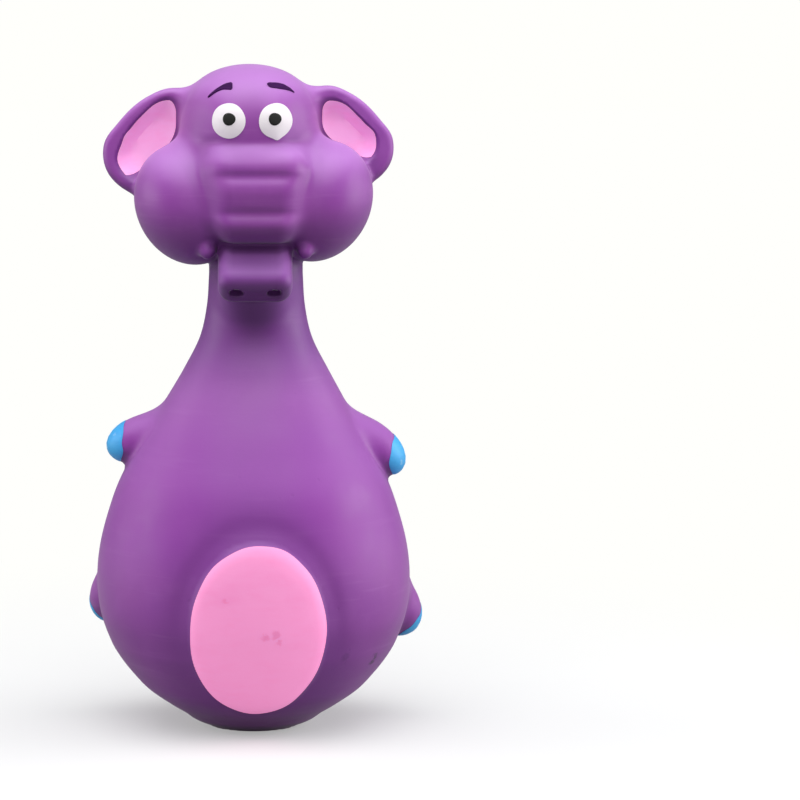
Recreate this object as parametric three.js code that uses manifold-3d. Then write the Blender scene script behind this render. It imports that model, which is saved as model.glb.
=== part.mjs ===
// A hollow latex squeaky toy in the shape of a sitting elephant.
// Millimetres, +Z up, +Y to the toy's back, +X to the toy's own left.
// The origin is the centre of the flat base that the toy stands on.
// The skin is one thin casting on the real toy. It is parted here only where it bends.

import * as THREE from "three";
import { mergeVertices } from "three/addons/utils/BufferGeometryUtils.js";
import Module from "manifold-3d";

const wasm = await Module();
wasm.setup();

// Overall sizes
const toyHeight = 125;
const headTall = 39;
const bodyHalfWidth = 29.6;
const bodyDepthShare = 0.93;
const skinWall = 1.8;
const meetGap = 0.3;
const cutReach = 60;

// Torso profile: height as a share of the neck waist height, half width as a share of the body's
const torsoShares = [
  [0, 0.28],
  [0.015, 0.385],
  [0.032, 0.455],
  [0.05, 0.54],
  [0.085, 0.682],
  [0.121, 0.78],
  [0.156, 0.858],
  [0.191, 0.916],
  [0.256, 0.98],
  [0.333, 1],
  [0.402, 0.981],
  [0.473, 0.929],
  [0.544, 0.855],
  [0.628, 0.725],
  [0.721, 0.571],
  [0.791, 0.456],
  [0.86, 0.356],
  [0.93, 0.311],
  [1, 0.297],
];

// The neck's waist is where the torso profile ends under the head
const neckWaistHeight = toyHeight - headTall;

// The neck stands a little to the left, from a low to a high share of the waist height
const neckLean = 0.45;
const leanLowShare = 0.6;
const leanHighShare = 0.8;

// Where the skin is parted at the neck, as shares of the neck waist height
const neckLowShare = 0.747;
const neckHighShare = 0.881;

// Head: heights are drops below the crown
const craniumHalfWidth = 12.9;
const craniumHalfDepth = 15.2;
const craniumHalfHeight = 15.6;
const craniumFullnessShare = 1.75;
const craniumBackShare = 0.7;
const craniumShift = -0.8;
const craniumBack = -0.5;
const cheekOut = 12.1;
const cheekFront = 3.5;
const cheekDrop = 25.9;
const cheekHalfWidth = 9.8;
const cheekHalfDepth = 12.4;
const cheekHalfHeight = 11.6;
const cheekTiltDegrees = 25;
const cheekLeftRise = 0.6;
const cheekMiddle = 3;
const cheekBlend = 4;
const neckBlend = 1.2;

// Muzzle with its soft folds, which fade toward its sides
const muzzleShift = 0.5;
const muzzleHalfWidth = 9.6;
const muzzleHalfDepth = 9.3;
const muzzleHalfHeight = 8.8;
const muzzleFront = 9.5;
const muzzleDrop = 23.6;
const muzzleRound = 5;
const muzzleTaperShare = 0.14;
const muzzleBlend = 2.8;
const ribShares = [0.1136, -0.659];
const ribRise = 0.35;
const ribHalfWidth = 2;
const grooveShares = [0.409, -0.375];
const grooveSink = 0.5;
const grooveHalfWidth = 1.15;
const foldFade = 5.2;

// Tusk stubs at the corners of the mouth
const tuskStand = 0.5;
const tuskInset = 0.6;
const tuskDrop = 1.6;
const tuskHalfWidth = 1.5;
const tuskHalfDepth = 1.6;
const tuskHalfHeight = 1.65;

// Trunk tip, turned forward and down
const tipShift = 0.3;
const tipHalfWidth = 6.85;
const tipHalfHeight = 3.6;
const tipHalfLength = 7;
const tipRound = 2.8;
const tipFaceBack = 2;
const tipFaceDrop = 18.2;
const tipTurnDegrees = 45;
const chinHalfWidth = 5.8;
const chinHalfDepth = 4.2;
const chinHalfHeight = 5.4;
const chinFront = 7.6;
const chinRise = 0.2;
const chinBlend = 4;
const nostrilOut = 3.45;
const nostrilHalfWidth = 1.3;
const nostrilHalfHeight = 0.95;
const nostrilDepth = 2.6;

// Ears: a bowl with a rolled rim, outlines as shares of the half length every 30 degrees
const earHalfLengthRight = 11.5;
const earHalfLengthLeft = 10.9;
const earStandRight = 6.5;
const earStandLeft = 5;
const earBack = 1.2;
const earDropRight = 14.6;
const earDropLeft = 13.6;
const earLeanDegrees = 27;
const earTurnDegrees = 10;
const earBowlDepth = 2.6;
const earRimHalf = 1.6;
const earSheet = 2;
const earRimShares = [0.88, 0.85, 0.76, 0.62, 0.62, 0.74, 0.98, 1.08, 0.95, 0.85, 0.85, 0.92];
const earBowlRightShares = [0.66, 0.61, 0.45, 0.38, 0.39, 0.5, 0.77, 0.82, 0.76, 0.72, 0.7, 0.68];
const earBowlLeftShares = [0.51, 0.5, 0.45, 0.36, 0.35, 0.45, 0.7, 0.85, 0.78, 0.72, 0.64, 0.55];
const earRootIn = 5;
const earFlexDegrees = 12;

// Arms and legs: rounded stubs, one set of values to each side
const armHalfLength = 8;
const armHalfHeight = 4.7;
const armHalfDepth = 5.6;
const armBack = 2;
const armRightSink = 1.4;
const armRightShare = 0.6325;
const armRightDroopDegrees = 14;
const armLeftSink = 0.4;
const armLeftShare = 0.6185;
const armLeftDroopDegrees = 34;
const legHalfLength = 9.3;
const legHalfHeight = 5.8;
const legHalfDepth = 6.2;
const legRightSink = 5.1;
const legRightBack = 9;
const legRightShare = 0.293;
const legRightDroopDegrees = 45;
const legRightSweepDegrees = 35;
const legLeftSink = 4.4;
const legLeftBack = 7;
const legLeftShare = 0.2685;
const legLeftDroopDegrees = 45;
const legLeftSweepDegrees = 25;
const armTipShare = 0.63;
const legTipShare = 0.74;

// Paint films
const filmGap = 0.12;
const filmThick = 0.3;
const eyeHalfWidth = 3;
const eyeHalfHeight = 3.2;
const eyeRightOut = 4.55;
const eyeLeftOut = 4.1;
const eyeDrop = 10.1;
const eyeDome = 1;
const pupilHalfWidth = 1.05;
const pupilRightIn = 0.3;
const pupilLeftIn = 0.4;
const pupilRise = 0.1;
const browLength = 5;
const browHalfWidth = 0.62;
const browRightBeyond = 1.65;
const browRightRise = 5.7;
const browLeftBeyond = 0.9;
const browLeftRise = 6;

// Eyebrow strokes: place along, rise and half width as shares, the thick end toward the middle
const browRightShares = [
  [-0.44, -0.26, 0.24], [-0.28, -0.08, 0.39], [-0.06, 0.08, 0.6],
  [0.2, 0.16, 0.76], [0.47, 0.18, 1],
];
const browLeftShares = [
  [-0.5, -0.14, 0.2], [-0.26, -0.04, 0.48], [0.02, 0.02, 0.6],
  [0.25, 0.06, 0.68], [0.5, 0.12, 0.61],
];

// Belly pad with its painted oval
const patchShift = 0.8;
const patchHalfWidth = 12.45;
const patchHalfHeight = 16.6;
const patchLift = 5.6;
const padMargin = 1.2;
const padRise = 0.8;

// Squeaker in the base
const squeakerRadius = 4.8;
const squeakerWall = 1;
const squeakerHeight = 8.2;
const squeakerLift = 0.4;
const flangeRadius = 6.6;
const flangeThick = 0.9;
const plateThick = 0.8;
const soundHoleRadius = 0.9;
const capThick = 0.8;
const capVentRadius = 1.4;
const capPlugDepth = 1.2;
const guardRadius = 4.2;
const guardThick = 0.4;
const guardHoleRadius = 0.5;
const guardHoleCircle = 2.4;
const guardHoles = 6;
const sealRadius = 5.85;
const sealHalfThick = 0.45;
const reedTubeRadius = 2;
const reedTubeBore = 1.2;
const reedTubeHeight = 6.1;
const reedTubeFlat = 0.8;
const reedWidth = 1.7;
const reedThick = 0.3;
const reedLength = 3;
const clampHeight = 1.2;
const clampWidth = 2.2;
const clampThick = 0.75;
const reedStandoff = 0.4;

// Counts of sides and rings
const torsoSides = 44;
const innerSides = 28;
const headSides = 52;
const smallSides = 24;
const limbSides = 20;
const limbRings = 12;
const neckRings = 4;
const innerRings = 12;

const degree = Math.PI / 180;
const latex = new THREE.Color(0x9656a6);
const pinkPaint = new THREE.Color(0xf58cc8);
const bluePaint = new THREE.Color(0x62b8ee);
const whitePaint = new THREE.Color(0xfaf6fa);
const darkPaint = new THREE.Color(0x2a2628);
const browPaint = new THREE.Color(0x3f1552);
const fibreWhite = new THREE.Color(0xf2f0ee);
const shellWhite = new THREE.Color(0xf4f4f2);
const brassYellow = new THREE.Color(0xc9a24a);

const toy = new THREE.Group();
toy.name = "squeaky_toy";

function look(color, roughness, metalness = 0) {
  return new THREE.MeshStandardMaterial({ color, roughness, metalness });
}

function addPiece(name, shape, material, parent = toy) {
  const geometry = shape.isBufferGeometry ? shape : geometryOf(shape);
  const mesh = new THREE.Mesh(geometry, material);
  mesh.name = name;
  parent.add(mesh);
  return mesh;
}

// Closed geometry to a solid and back
function solidOf(geometry) {
  const bare = geometry.clone();
  bare.deleteAttribute("normal");
  bare.deleteAttribute("uv");
  const merged = mergeVertices(bare);
  const mesh = new wasm.Mesh({
    numProp: 3,
    vertProperties: new Float32Array(merged.attributes.position.array),
    triVerts: new Uint32Array(merged.index.array),
  });
  return new wasm.Manifold(mesh);
}

function geometryOf(solid) {
  const mesh = solid.getMesh();
  const geometry = new THREE.BufferGeometry();
  geometry.setAttribute("position", new THREE.BufferAttribute(mesh.vertProperties.slice(), 3));
  geometry.setIndex(new THREE.BufferAttribute(mesh.triVerts.slice(), 1));
  geometry.computeVertexNormals();
  return geometry;
}

// A closed skin over rings of points, with a pole at each end.
// The rings run up the shape and each ring runs anticlockwise seen from its top end.
function ringSkin(rings, lowPole, highPole) {
  const sides = rings[0].length;
  const points = rings.flat();
  const faces = [];
  const low = points.length;
  const high = low + 1;
  points.push(lowPole, highPole);
  for (let i = 0; i < sides; i += 1) {
    const j = (i + 1) % sides;
    faces.push(low, j, i);
    for (let k = 0; k + 1 < rings.length; k += 1) {
      const a = k * sides + i;
      const b = k * sides + j;
      faces.push(a, b, b + sides);
      faces.push(a, b + sides, a + sides);
    }
    const top = (rings.length - 1) * sides;
    faces.push(top + i, top + j, high);
  }
  const geometry = new THREE.BufferGeometry();
  geometry.setFromPoints(points);
  geometry.setIndex(faces);
  geometry.computeVertexNormals();
  return geometry;
}

function spot(x, y, z) {
  return new THREE.Vector3(x, y, z);
}

function smoothStep(from, to, value) {
  const t = Math.min(1, Math.max(0, (value - from) / (to - from)));
  return t * t * (3 - 2 * t);
}

// Half width of the torso and its slope at a height, by a smooth curve through the profile
function torsoAt(z) {
  const share = Math.min(1, Math.max(0, z / neckWaistHeight));
  let i = 0;
  while (i < torsoShares.length - 2 && torsoShares[i + 1][0] < share) {
    i += 1;
  }
  const slopeOf = (k) => {
    const a = torsoShares[Math.max(0, k - 1)];
    const b = torsoShares[Math.min(torsoShares.length - 1, k + 1)];
    return (b[1] - a[1]) / (b[0] - a[0]);
  };
  const [h0, w0] = torsoShares[i];
  const [h1, w1] = torsoShares[i + 1];
  const step = h1 - h0;
  const t = (share - h0) / step;
  const m0 = slopeOf(i) * step;
  const m1 = slopeOf(i + 1) * step;
  const c = w1 - w0;
  const width = w0 + t * (m0 + t * (3 * c - 2 * m0 - m1 + t * (m0 + m1 - 2 * c)));
  const slope = (m0 + t * (2 * (3 * c - 2 * m0 - m1) + t * 3 * (m0 + m1 - 2 * c))) / step;
  return { radius: width * bodyHalfWidth, slope: (slope * bodyHalfWidth) / neckWaistHeight };
}

// Torso half width moved out along the surface by a lift, or in where the lift is negative
function liftedRadius(z, lift) {
  const { radius, slope } = torsoAt(z);
  return radius + lift * Math.hypot(1, slope);
}

function leanAt(z) {
  return neckLean * smoothStep(leanLowShare, leanHighShare, z / neckWaistHeight);
}

function ovalRing(radius, z, sides) {
  const ring = [];
  for (let i = 0; i < sides; i += 1) {
    const angle = (2 * Math.PI * i) / sides;
    ring.push(spot(leanAt(z) + radius * Math.cos(angle), bodyDepthShare * radius * Math.sin(angle), z));
  }
  return ring;
}

function torsoSolid(heights, lift, sides) {
  const rings = heights.map((z) => ovalRing(liftedRadius(z, lift), z, sides));
  const high = heights[heights.length - 1];
  return solidOf(ringSkin(rings, spot(0, 0, heights[0]), spot(leanAt(high), 0, high)));
}

function evenHeights(from, to, count) {
  const heights = [];
  for (let i = 0; i <= count; i += 1) {
    heights.push(from + ((to - from) * i) / count);
  }
  return heights;
}

// A box that keeps what lies between two heights
function heightSlab(from, to) {
  const slab = new THREE.BoxGeometry(2 * cutReach, 2 * cutReach, to - from);
  slab.translate(0, 0, (from + to) / 2);
  return solidOf(slab);
}

// Head surface: a level of one smooth field, below zero inside
function ovalField(dx, dy, dz, rx, ry, rz) {
  const scaled = Math.hypot(dx / rx, dy / ry, dz / rz);
  const grown = Math.hypot(dx / (rx * rx), dy / (ry * ry), dz / (rz * rz));
  return grown === 0 ? -Math.min(rx, ry, rz) : (scaled * (scaled - 1)) / grown;
}

function boxField(dx, dy, dz, hx, hy, hz, round) {
  const qx = Math.abs(dx) - hx + round;
  const qy = Math.abs(dy) - hy + round;
  const qz = Math.abs(dz) - hz + round;
  const outside = Math.hypot(Math.max(qx, 0), Math.max(qy, 0), Math.max(qz, 0));
  return outside + Math.min(Math.max(qx, qy, qz), 0) - round;
}

function blendMin(a, b, reach) {
  const h = Math.max(reach - Math.abs(a - b), 0) / reach;
  return Math.min(a, b) - (h * h * reach) / 4;
}

const craniumHeight = toyHeight - craniumHalfHeight;
const cheekHeight = toyHeight - cheekDrop;
const cheekTiltCos = Math.cos(cheekTiltDegrees * degree);
const cheekTiltSin = Math.sin(cheekTiltDegrees * degree);
const muzzleHeight = toyHeight - muzzleDrop;
const tipFaceHeight = muzzleHeight - tipFaceDrop;
const tipFaceFront = muzzleFront + muzzleHalfDepth - tipFaceBack;
const chinHeight = tipFaceHeight + chinRise;
const eyeHeight = toyHeight - eyeDrop;

function muzzleField(x, y, z) {
  const taper = 1 - muzzleTaperShare * smoothStep(muzzleHalfHeight, -muzzleHalfHeight, z - muzzleHeight);
  const dx = (x - muzzleShift) / taper;
  let field = boxField(dx, y + muzzleFront, z - muzzleHeight, muzzleHalfWidth, muzzleHalfDepth,
    muzzleHalfHeight, muzzleRound);
  const side = smoothStep(muzzleHalfWidth, muzzleHalfWidth - foldFade, Math.abs(dx));
  for (const share of ribShares) {
    const rib = muzzleHeight + share * muzzleHalfHeight;
    field -= ribRise * side * Math.exp(-(((z - rib) / ribHalfWidth) ** 2));
  }
  for (const share of grooveShares) {
    const groove = muzzleHeight + share * muzzleHalfHeight;
    field += grooveSink * side * Math.exp(-(((z - groove) / grooveHalfWidth) ** 2));
  }
  return field;
}

function neckField(x, y, z) {
  const { radius, slope } = torsoAt(z);
  const aside = x - leanAt(z);
  const side = (Math.hypot(aside, y / bodyDepthShare) - radius) / Math.hypot(1, slope);
  return Math.max(side, z - cheekHeight);
}

function headField(x, y, z) {
  const rise = (z - craniumHeight) / craniumHalfHeight;
  const behind = smoothStep(0, craniumBackShare, (y - craniumBack) / craniumHalfDepth);
  const fullness = craniumFullnessShare - (craniumFullnessShare - 1) * behind;
  const full = craniumHalfHeight * Math.sign(rise) * Math.abs(rise) ** fullness;
  const cranium = ovalField(x - craniumShift, y - craniumBack, full, craniumHalfWidth, craniumHalfDepth,
    craniumHalfHeight);
  const out = Math.abs(x) - cheekOut;
  const up = z - cheekHeight - cheekLeftRise * smoothStep(-cheekMiddle, cheekMiddle, x);
  const cheek = ovalField(out * cheekTiltCos - up * cheekTiltSin, y + cheekFront,
    up * cheekTiltCos + out * cheekTiltSin, cheekHalfWidth, cheekHalfDepth, cheekHalfHeight);
  const chin = ovalField(x, y + chinFront, z - chinHeight, chinHalfWidth, chinHalfDepth, chinHalfHeight);
  const ball = blendMin(cranium, cheek, cheekBlend);
  const face = blendMin(ball, muzzleField(x, y, z), muzzleBlend);
  const neck = blendMin(neckField(x, y, z), chin, chinBlend);
  return blendMin(face, neck, neckBlend);
}

// Distance along a ray to the level of a field, from a start inside it
function reachOf(field, from, way, level, farthest) {
  const stride = farthest / rayStrides;
  let near = 0;
  let far = farthest;
  for (let t = stride; t <= farthest; t += stride) {
    if (field(from.x + way.x * t, from.y + way.y * t, from.z + way.z * t) > level) {
      far = t;
      break;
    }
    near = t;
  }
  for (let i = 0; i < rayHalvings; i += 1) {
    const t = (near + far) / 2;
    if (field(from.x + way.x * t, from.y + way.y * t, from.z + way.z * t) > level) {
      far = t;
    } else {
      near = t;
    }
  }
  return (near + far) / 2;
}
const rayStrides = 90;
const rayHalvings = 18;

const neckLowHeight = neckLowShare * neckWaistHeight;
const neckHighHeight = neckHighShare * neckWaistHeight;

// Ring heights up the head as shares from its lower edge to its fan centre
const headRingShares = [-0.08, 0.06, 0.2, 0.32, 0.4, 0.45, 0.475, 0.505, 0.545, 0.59, 0.65, 0.71, 0.77, 0.83,
  0.885, 0.94, 1];
const headInnerShares = [-0.3, 0.1, 0.35, 0.47, 0.56, 0.66, 0.78, 0.9, 1];
const headFanRings = 8;
const headFrontShare = 0.42;
const headFanHeight = muzzleHeight + ribHalfWidth;

function headSolid(level, shares, fanRings, sides) {
  const rings = [];
  const ringFrom = (origin, tilt) => {
    const ring = [];
    for (let i = 0; i < sides; i += 1) {
      const turn = (2 * Math.PI * i) / sides;
      const angle = Math.PI / 2 + turn + headFrontShare * Math.sin(turn);
      const flat = Math.cos(tilt);
      const way = spot(flat * Math.cos(angle), flat * Math.sin(angle), Math.sin(tilt));
      const reach = reachOf(headField, origin, way, level, cutReach);
      ring.push(way.multiplyScalar(reach).add(origin));
    }
    return ring;
  };
  for (const share of shares) {
    const z = neckHighHeight + share * (headFanHeight - neckHighHeight);
    rings.push(ringFrom(spot(0, 0, z), 0));
  }
  const centre = spot(0, 0, headFanHeight);
  for (let k = 1; k < fanRings; k += 1) {
    rings.push(ringFrom(centre, (Math.PI / 2) * (k / fanRings)));
  }
  const top = reachOf(headField, centre, spot(0, 0, 1), level, cutReach);
  const bottom = rings[0][0].z;
  return solidOf(ringSkin(rings, spot(0, 0, bottom), spot(0, 0, centre.z + top)));
}

function stretched(sides, rings, rx, ry, rz) {
  const ball = new THREE.SphereGeometry(1, sides, rings);
  ball.scale(rx, ry, rz);
  return ball;
}

// Torso ring heights follow the profile's own points
const torsoHeights = torsoShares.map((pair) => pair[0] * neckWaistHeight);
const torsoInnerHeights = evenHeights(skinWall, neckWaistHeight, innerRings + 2);
const torsoOuter = torsoSolid(torsoHeights, 0, torsoSides);
const torsoGrown = torsoSolid(torsoHeights, meetGap, torsoSides);
const torsoInner = torsoSolid(torsoInnerHeights, -skinWall, innerSides);

// Oval column along Y that parts the belly pad from the torso
function ovalColumn(halfWidth, halfHeight) {
  const outline = new THREE.Shape();
  outline.absellipse(patchShift, patchLift + patchHalfHeight, halfWidth, halfHeight, 0, 2 * Math.PI);
  const settings = { depth: cutReach, bevelEnabled: false, curveSegments: ovalSegments };
  const column = new THREE.ExtrudeGeometry(outline, settings);
  column.rotateX(Math.PI / 2);
  return solidOf(column);
}
const ovalSegments = 24;
const padHalfWidth = patchHalfWidth + padMargin;
const padHalfHeight = patchHalfHeight + padMargin;

// Squeaker places, worked up from the base
const squeakerTop = squeakerLift + squeakerHeight;
const flangeLow = skinWall + meetGap;
const flangeHigh = flangeLow + flangeThick;
const baseHoleRadius = squeakerRadius + meetGap;

function makeBodySkin() {
  const hole = new THREE.CylinderGeometry(baseHoleRadius, baseHoleRadius, cutReach, smallSides);
  hole.rotateX(Math.PI / 2);
  const column = ovalColumn(padHalfWidth + meetGap, padHalfHeight + meetGap);
  const shell = torsoOuter.subtract(torsoInner).subtract(solidOf(hole)).subtract(column);
  return shell.intersect(heightSlab(-cutReach, neckLowHeight));
}

function makeBellyWall() {
  const raised = torsoSolid(torsoHeights, padRise, torsoSides);
  return raised.subtract(torsoInner).intersect(ovalColumn(padHalfWidth, padHalfHeight));
}

function makeBellyPatch() {
  const face = torsoSolid(torsoHeights, padRise + filmGap + filmThick, torsoSides);
  const under = torsoSolid(torsoHeights, padRise + filmGap, torsoSides);
  return face.subtract(under).intersect(ovalColumn(patchHalfWidth, patchHalfHeight));
}

function makeNeckSkin() {
  return torsoOuter.subtract(torsoInner)
    .intersect(heightSlab(neckLowHeight + meetGap, neckHighHeight - meetGap));
}

function makeTusk(side) {
  const stub = stretched(limbRings, limbRings / 2, tuskHalfWidth, tuskHalfDepth, tuskHalfHeight);
  const height = muzzleHeight - muzzleHalfHeight - tuskDrop;
  const root = frontPoint(headField, side * (muzzleHalfWidth - tuskInset) + muzzleShift, height, tuskStand);
  stub.translate(root.x, root.y, root.z);
  return solidOf(stub);
}

const headOuter = headSolid(0, headRingShares, headFanRings, headSides);
const headGrown = headSolid(meetGap, headRingShares, headFanRings, headSides);
const headFilmed = headSolid(filmGap, headRingShares, headFanRings, headSides);
const headInner = headSolid(-skinWall, headInnerShares, headFanRings - 3, innerSides);

function makeHeadSkin() {
  return headOuter.add(makeTusk(1)).add(makeTusk(-1)).subtract(headInner)
    .intersect(heightSlab(neckHighHeight, toyHeight + cutReach));
}

// Trunk tip: a rounded block along its own axis, with two nostril pits in its end face
function makeTrunkTip() {
  const turn = tipTurnDegrees * degree;
  const out = spot(0, -Math.cos(turn), -Math.sin(turn));
  const up = spot(0, -Math.sin(turn), Math.cos(turn));
  const across = spot(1, 0, 0);
  const face = spot(tipShift, -tipFaceFront, tipFaceHeight);
  const centre = face.clone().addScaledVector(out, -tipHalfLength);
  const place = new THREE.Matrix4().makeBasis(across, up, out);
  place.setPosition(centre);
  const rings = [];
  for (let k = 0; k <= tipRings; k += 1) {
    const depth = tipDepthShares[k] * tipHalfLength;
    const ring = [];
    for (let i = 0; i < smallSides; i += 1) {
      const angle = (2 * Math.PI * i) / smallSides;
      const way = spot(Math.cos(angle), Math.sin(angle) * (tipHalfHeight / tipHalfWidth), 0).normalize();
      const field = (x, y, z) => boxField(x, y, z, tipHalfWidth, tipHalfHeight, tipHalfLength, tipRound);
      const reach = reachOf(field, spot(0, 0, depth), way, 0, cutReach);
      ring.push(way.multiplyScalar(reach).add(spot(0, 0, depth)));
    }
    rings.push(ring);
  }
  const block = ringSkin(rings, spot(0, 0, -tipHalfLength), spot(0, 0, tipHalfLength));
  block.applyMatrix4(place);
  let tip = solidOf(block);
  for (const side of [-1, 1]) {
    const pit = stretched(limbRings, limbRings / 2, nostrilHalfWidth, nostrilHalfHeight, nostrilDepth);
    pit.translate(side * nostrilOut, 0, tipHalfLength);
    pit.applyMatrix4(place);
    tip = tip.subtract(solidOf(pit));
  }
  return tip.subtract(headGrown);
}
const tipDepthShares = [-0.995, -0.93, -0.84, -0.73, 0.2, 0.84, 0.995];
const tipRings = tipDepthShares.length - 1;

// Ear frame: along the root line, outward across it, and out of the bowl
function earFrame(side) {
  const lean = earLeanDegrees * degree;
  const turn = earTurnDegrees * degree;
  const along = spot(side * Math.sin(lean), 0, -Math.cos(lean));
  const flatOut = spot(side * Math.cos(lean), 0, Math.sin(lean));
  const back = spot(0, 1, 0);
  const across = flatOut.clone().multiplyScalar(Math.cos(turn)).addScaledVector(back, Math.sin(turn));
  const front = flatOut.clone().multiplyScalar(Math.sin(turn)).addScaledVector(back, -Math.cos(turn));
  const half = side > 0 ? earHalfLengthLeft : earHalfLengthRight;
  const out = craniumHalfWidth + (side > 0 ? earStandLeft : earStandRight);
  const drop = side > 0 ? earDropLeft : earDropRight;
  return { along, across, front, centre: spot(side * out, earBack, toyHeight - drop), half };
}

// Smooth closed curve through shares spaced evenly round a turn
function shareAt(shares, angle) {
  const count = shares.length;
  const place = ((angle / (2 * Math.PI)) * count + count) % count;
  const i = Math.floor(place);
  const t = place - i;
  const [a, b, c, d] = [-1, 0, 1, 2].map((k) => shares[(i + k + count) % count]);
  return b + (t / 2) * (c - a + t * (2 * a - 5 * b + 4 * c - d + t * (3 * (b - c) + d - a)));
}

// Height of the ear's front and back over its middle plane, at a share of the way to the rim
function earFrontHeight(bowl, share) {
  if (share <= bowl) {
    return earRimHalf * bowlLipShare - earBowlDepth * (1 - Math.min(1, share / bowl) ** 2) ** 1.2;
  }
  const t = (share - bowl) / (1 - bowl);
  const roll = Math.sqrt(Math.max(0, 1 - t ** 2.4));
  return earRimHalf * (bowlLipShare + (1 - bowlLipShare) * smoothStep(0, 0.35, t)) * roll;
}
const bowlLipShare = 0.45;

function earBackHeight(bowl, share) {
  const middle = -earBowlDepth - earSheet + earRimHalf;
  const t = smoothStep(bowl / 2, 1, share);
  const round = Math.sqrt(Math.max(0, 1 - share ** 6));
  return (middle + (-earRimHalf - middle) * t) * round;
}

function earPoint(frame, angle, share, height) {
  const reach = share * frame.half * shareAt(earRimShares, angle);
  return frame.centre.clone()
    .addScaledVector(frame.along, reach * Math.cos(angle))
    .addScaledVector(frame.across, reach * Math.sin(angle))
    .addScaledVector(frame.front, height);
}

const earBackShares = [0.4, 0.7, 0.9, 0.985];
const earRollShares = [0.15, 0.4, 0.7, 0.9, 0.98];
const liningRingShares = [0.35, 0.65, 0.88, 1];

// Where the bowl ends, as a share of the way to the rim
function bowlShareAt(side, angle) {
  const bowlShares = side > 0 ? earBowlLeftShares : earBowlRightShares;
  return shareAt(bowlShares, angle) / shareAt(earRimShares, angle);
}

function earSolid(side) {
  const frame = earFrame(side);
  const rings = [];
  const ringAt = (shareOf, heightOf) => {
    const ring = [];
    for (let i = 0; i < smallSides; i += 1) {
      const angle = (side * 2 * Math.PI * i) / smallSides;
      const bowl = bowlShareAt(side, angle);
      ring.push(earPoint(frame, angle, shareOf(bowl), heightOf(bowl, shareOf(bowl))));
    }
    return ring;
  };
  for (const share of earBackShares) {
    rings.push(ringAt(() => share, earBackHeight));
  }
  for (const roll of [...earRollShares].reverse()) {
    rings.push(ringAt((bowl) => bowl + (1 - bowl) * roll, earFrontHeight));
  }
  for (const share of [...liningRingShares].reverse()) {
    rings.push(ringAt((bowl) => bowl * share, earFrontHeight));
  }
  const low = earPoint(frame, 0, 0, earBackHeight(bowlShareAt(side, 0), 0));
  const high = earPoint(frame, 0, 0, earFrontHeight(bowlShareAt(side, 0), 0));
  return solidOf(ringSkin(rings, low, high));
}

// Film over the bowl, from its underside gap to its painted face
function liningSolid(side) {
  const frame = earFrame(side);
  const rings = [];
  const ringAt = (share, lift) => {
    const ring = [];
    for (let i = 0; i < smallSides; i += 1) {
      const angle = (side * 2 * Math.PI * i) / smallSides;
      const bowl = bowlShareAt(side, angle);
      const height = earFrontHeight(bowl, share * bowl) + lift;
      ring.push(earPoint(frame, angle, share * bowl, height));
    }
    return ring;
  };
  for (const share of liningRingShares) {
    rings.push(ringAt(share, filmGap));
  }
  for (const share of [...liningRingShares].reverse()) {
    rings.push(ringAt(share, filmGap + filmThick));
  }
  const middle = earFrontHeight(bowlShareAt(side, 0), 0) + filmGap;
  const low = earPoint(frame, 0, 0, middle);
  const high = earPoint(frame, 0, 0, middle + filmThick);
  return solidOf(ringSkin(rings, low, high));
}

// The head in the places where a flexing ear meets it, turned about the ear's root line
function headSweep(side) {
  const { along, across, centre } = earFrame(side);
  const root = centre.clone().addScaledVector(across, -earRootIn);
  const grown = geometryOf(headGrown);
  let sweep = headGrown;
  for (const turn of [-earFlexDegrees, earFlexDegrees]) {
    const copy = grown.clone();
    copy.translate(-root.x, -root.y, -root.z);
    copy.applyMatrix4(new THREE.Matrix4().makeRotationAxis(along, turn * degree));
    copy.translate(root.x, root.y, root.z);
    sweep = sweep.add(solidOf(copy));
  }
  return sweep;
}

// Limb stub: a stretched ball on its own axis, and the paint cup over its tip
function limbPlace(side, sink, back, share, droop, sweep) {
  const height = share * neckWaistHeight;
  const out = torsoAt(height).radius - sink;
  const place = new THREE.Matrix4().makeTranslation(side * out, back, height);
  const turn = new THREE.Matrix4().makeRotationZ(side * sweep * degree);
  const tip = new THREE.Matrix4().makeRotationY(side * droop * degree);
  return place.multiply(turn).multiply(tip);
}

function limbBall(place, side, long, deep, high, lift) {
  const ball = new THREE.SphereGeometry(1, limbSides, limbRings);
  ball.rotateZ(-side * (Math.PI / 2));
  ball.scale(long + lift, deep + lift, high + lift);
  ball.applyMatrix4(place);
  return solidOf(ball);
}

function addLimb(name, side, place, long, deep, high, tipShare) {
  const stub = limbBall(place, side, long, deep, high, 0).subtract(torsoGrown);
  addPiece(name, stub, look(latex, 0.55));
  const cup = limbBall(place, side, long, deep, high, filmGap + filmThick)
    .subtract(limbBall(place, side, long, deep, high, filmGap));
  const keep = new THREE.BoxGeometry(cutReach, cutReach, cutReach);
  keep.translate(side * (cutReach / 2 + tipShare * long), 0, 0);
  keep.applyMatrix4(place);
  addPiece(`${name}_paint`, cup.intersect(solidOf(keep)).subtract(torsoGrown), look(bluePaint, 0.45));
}

// Film on the front of the head or torso, over an outline drawn in the front view
function frontPoint(field, x, z, level) {
  const reach = reachOf(field, spot(x, 0, z), spot(0, -1, 0), level, cutReach);
  return spot(x, -reach, z);
}

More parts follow.
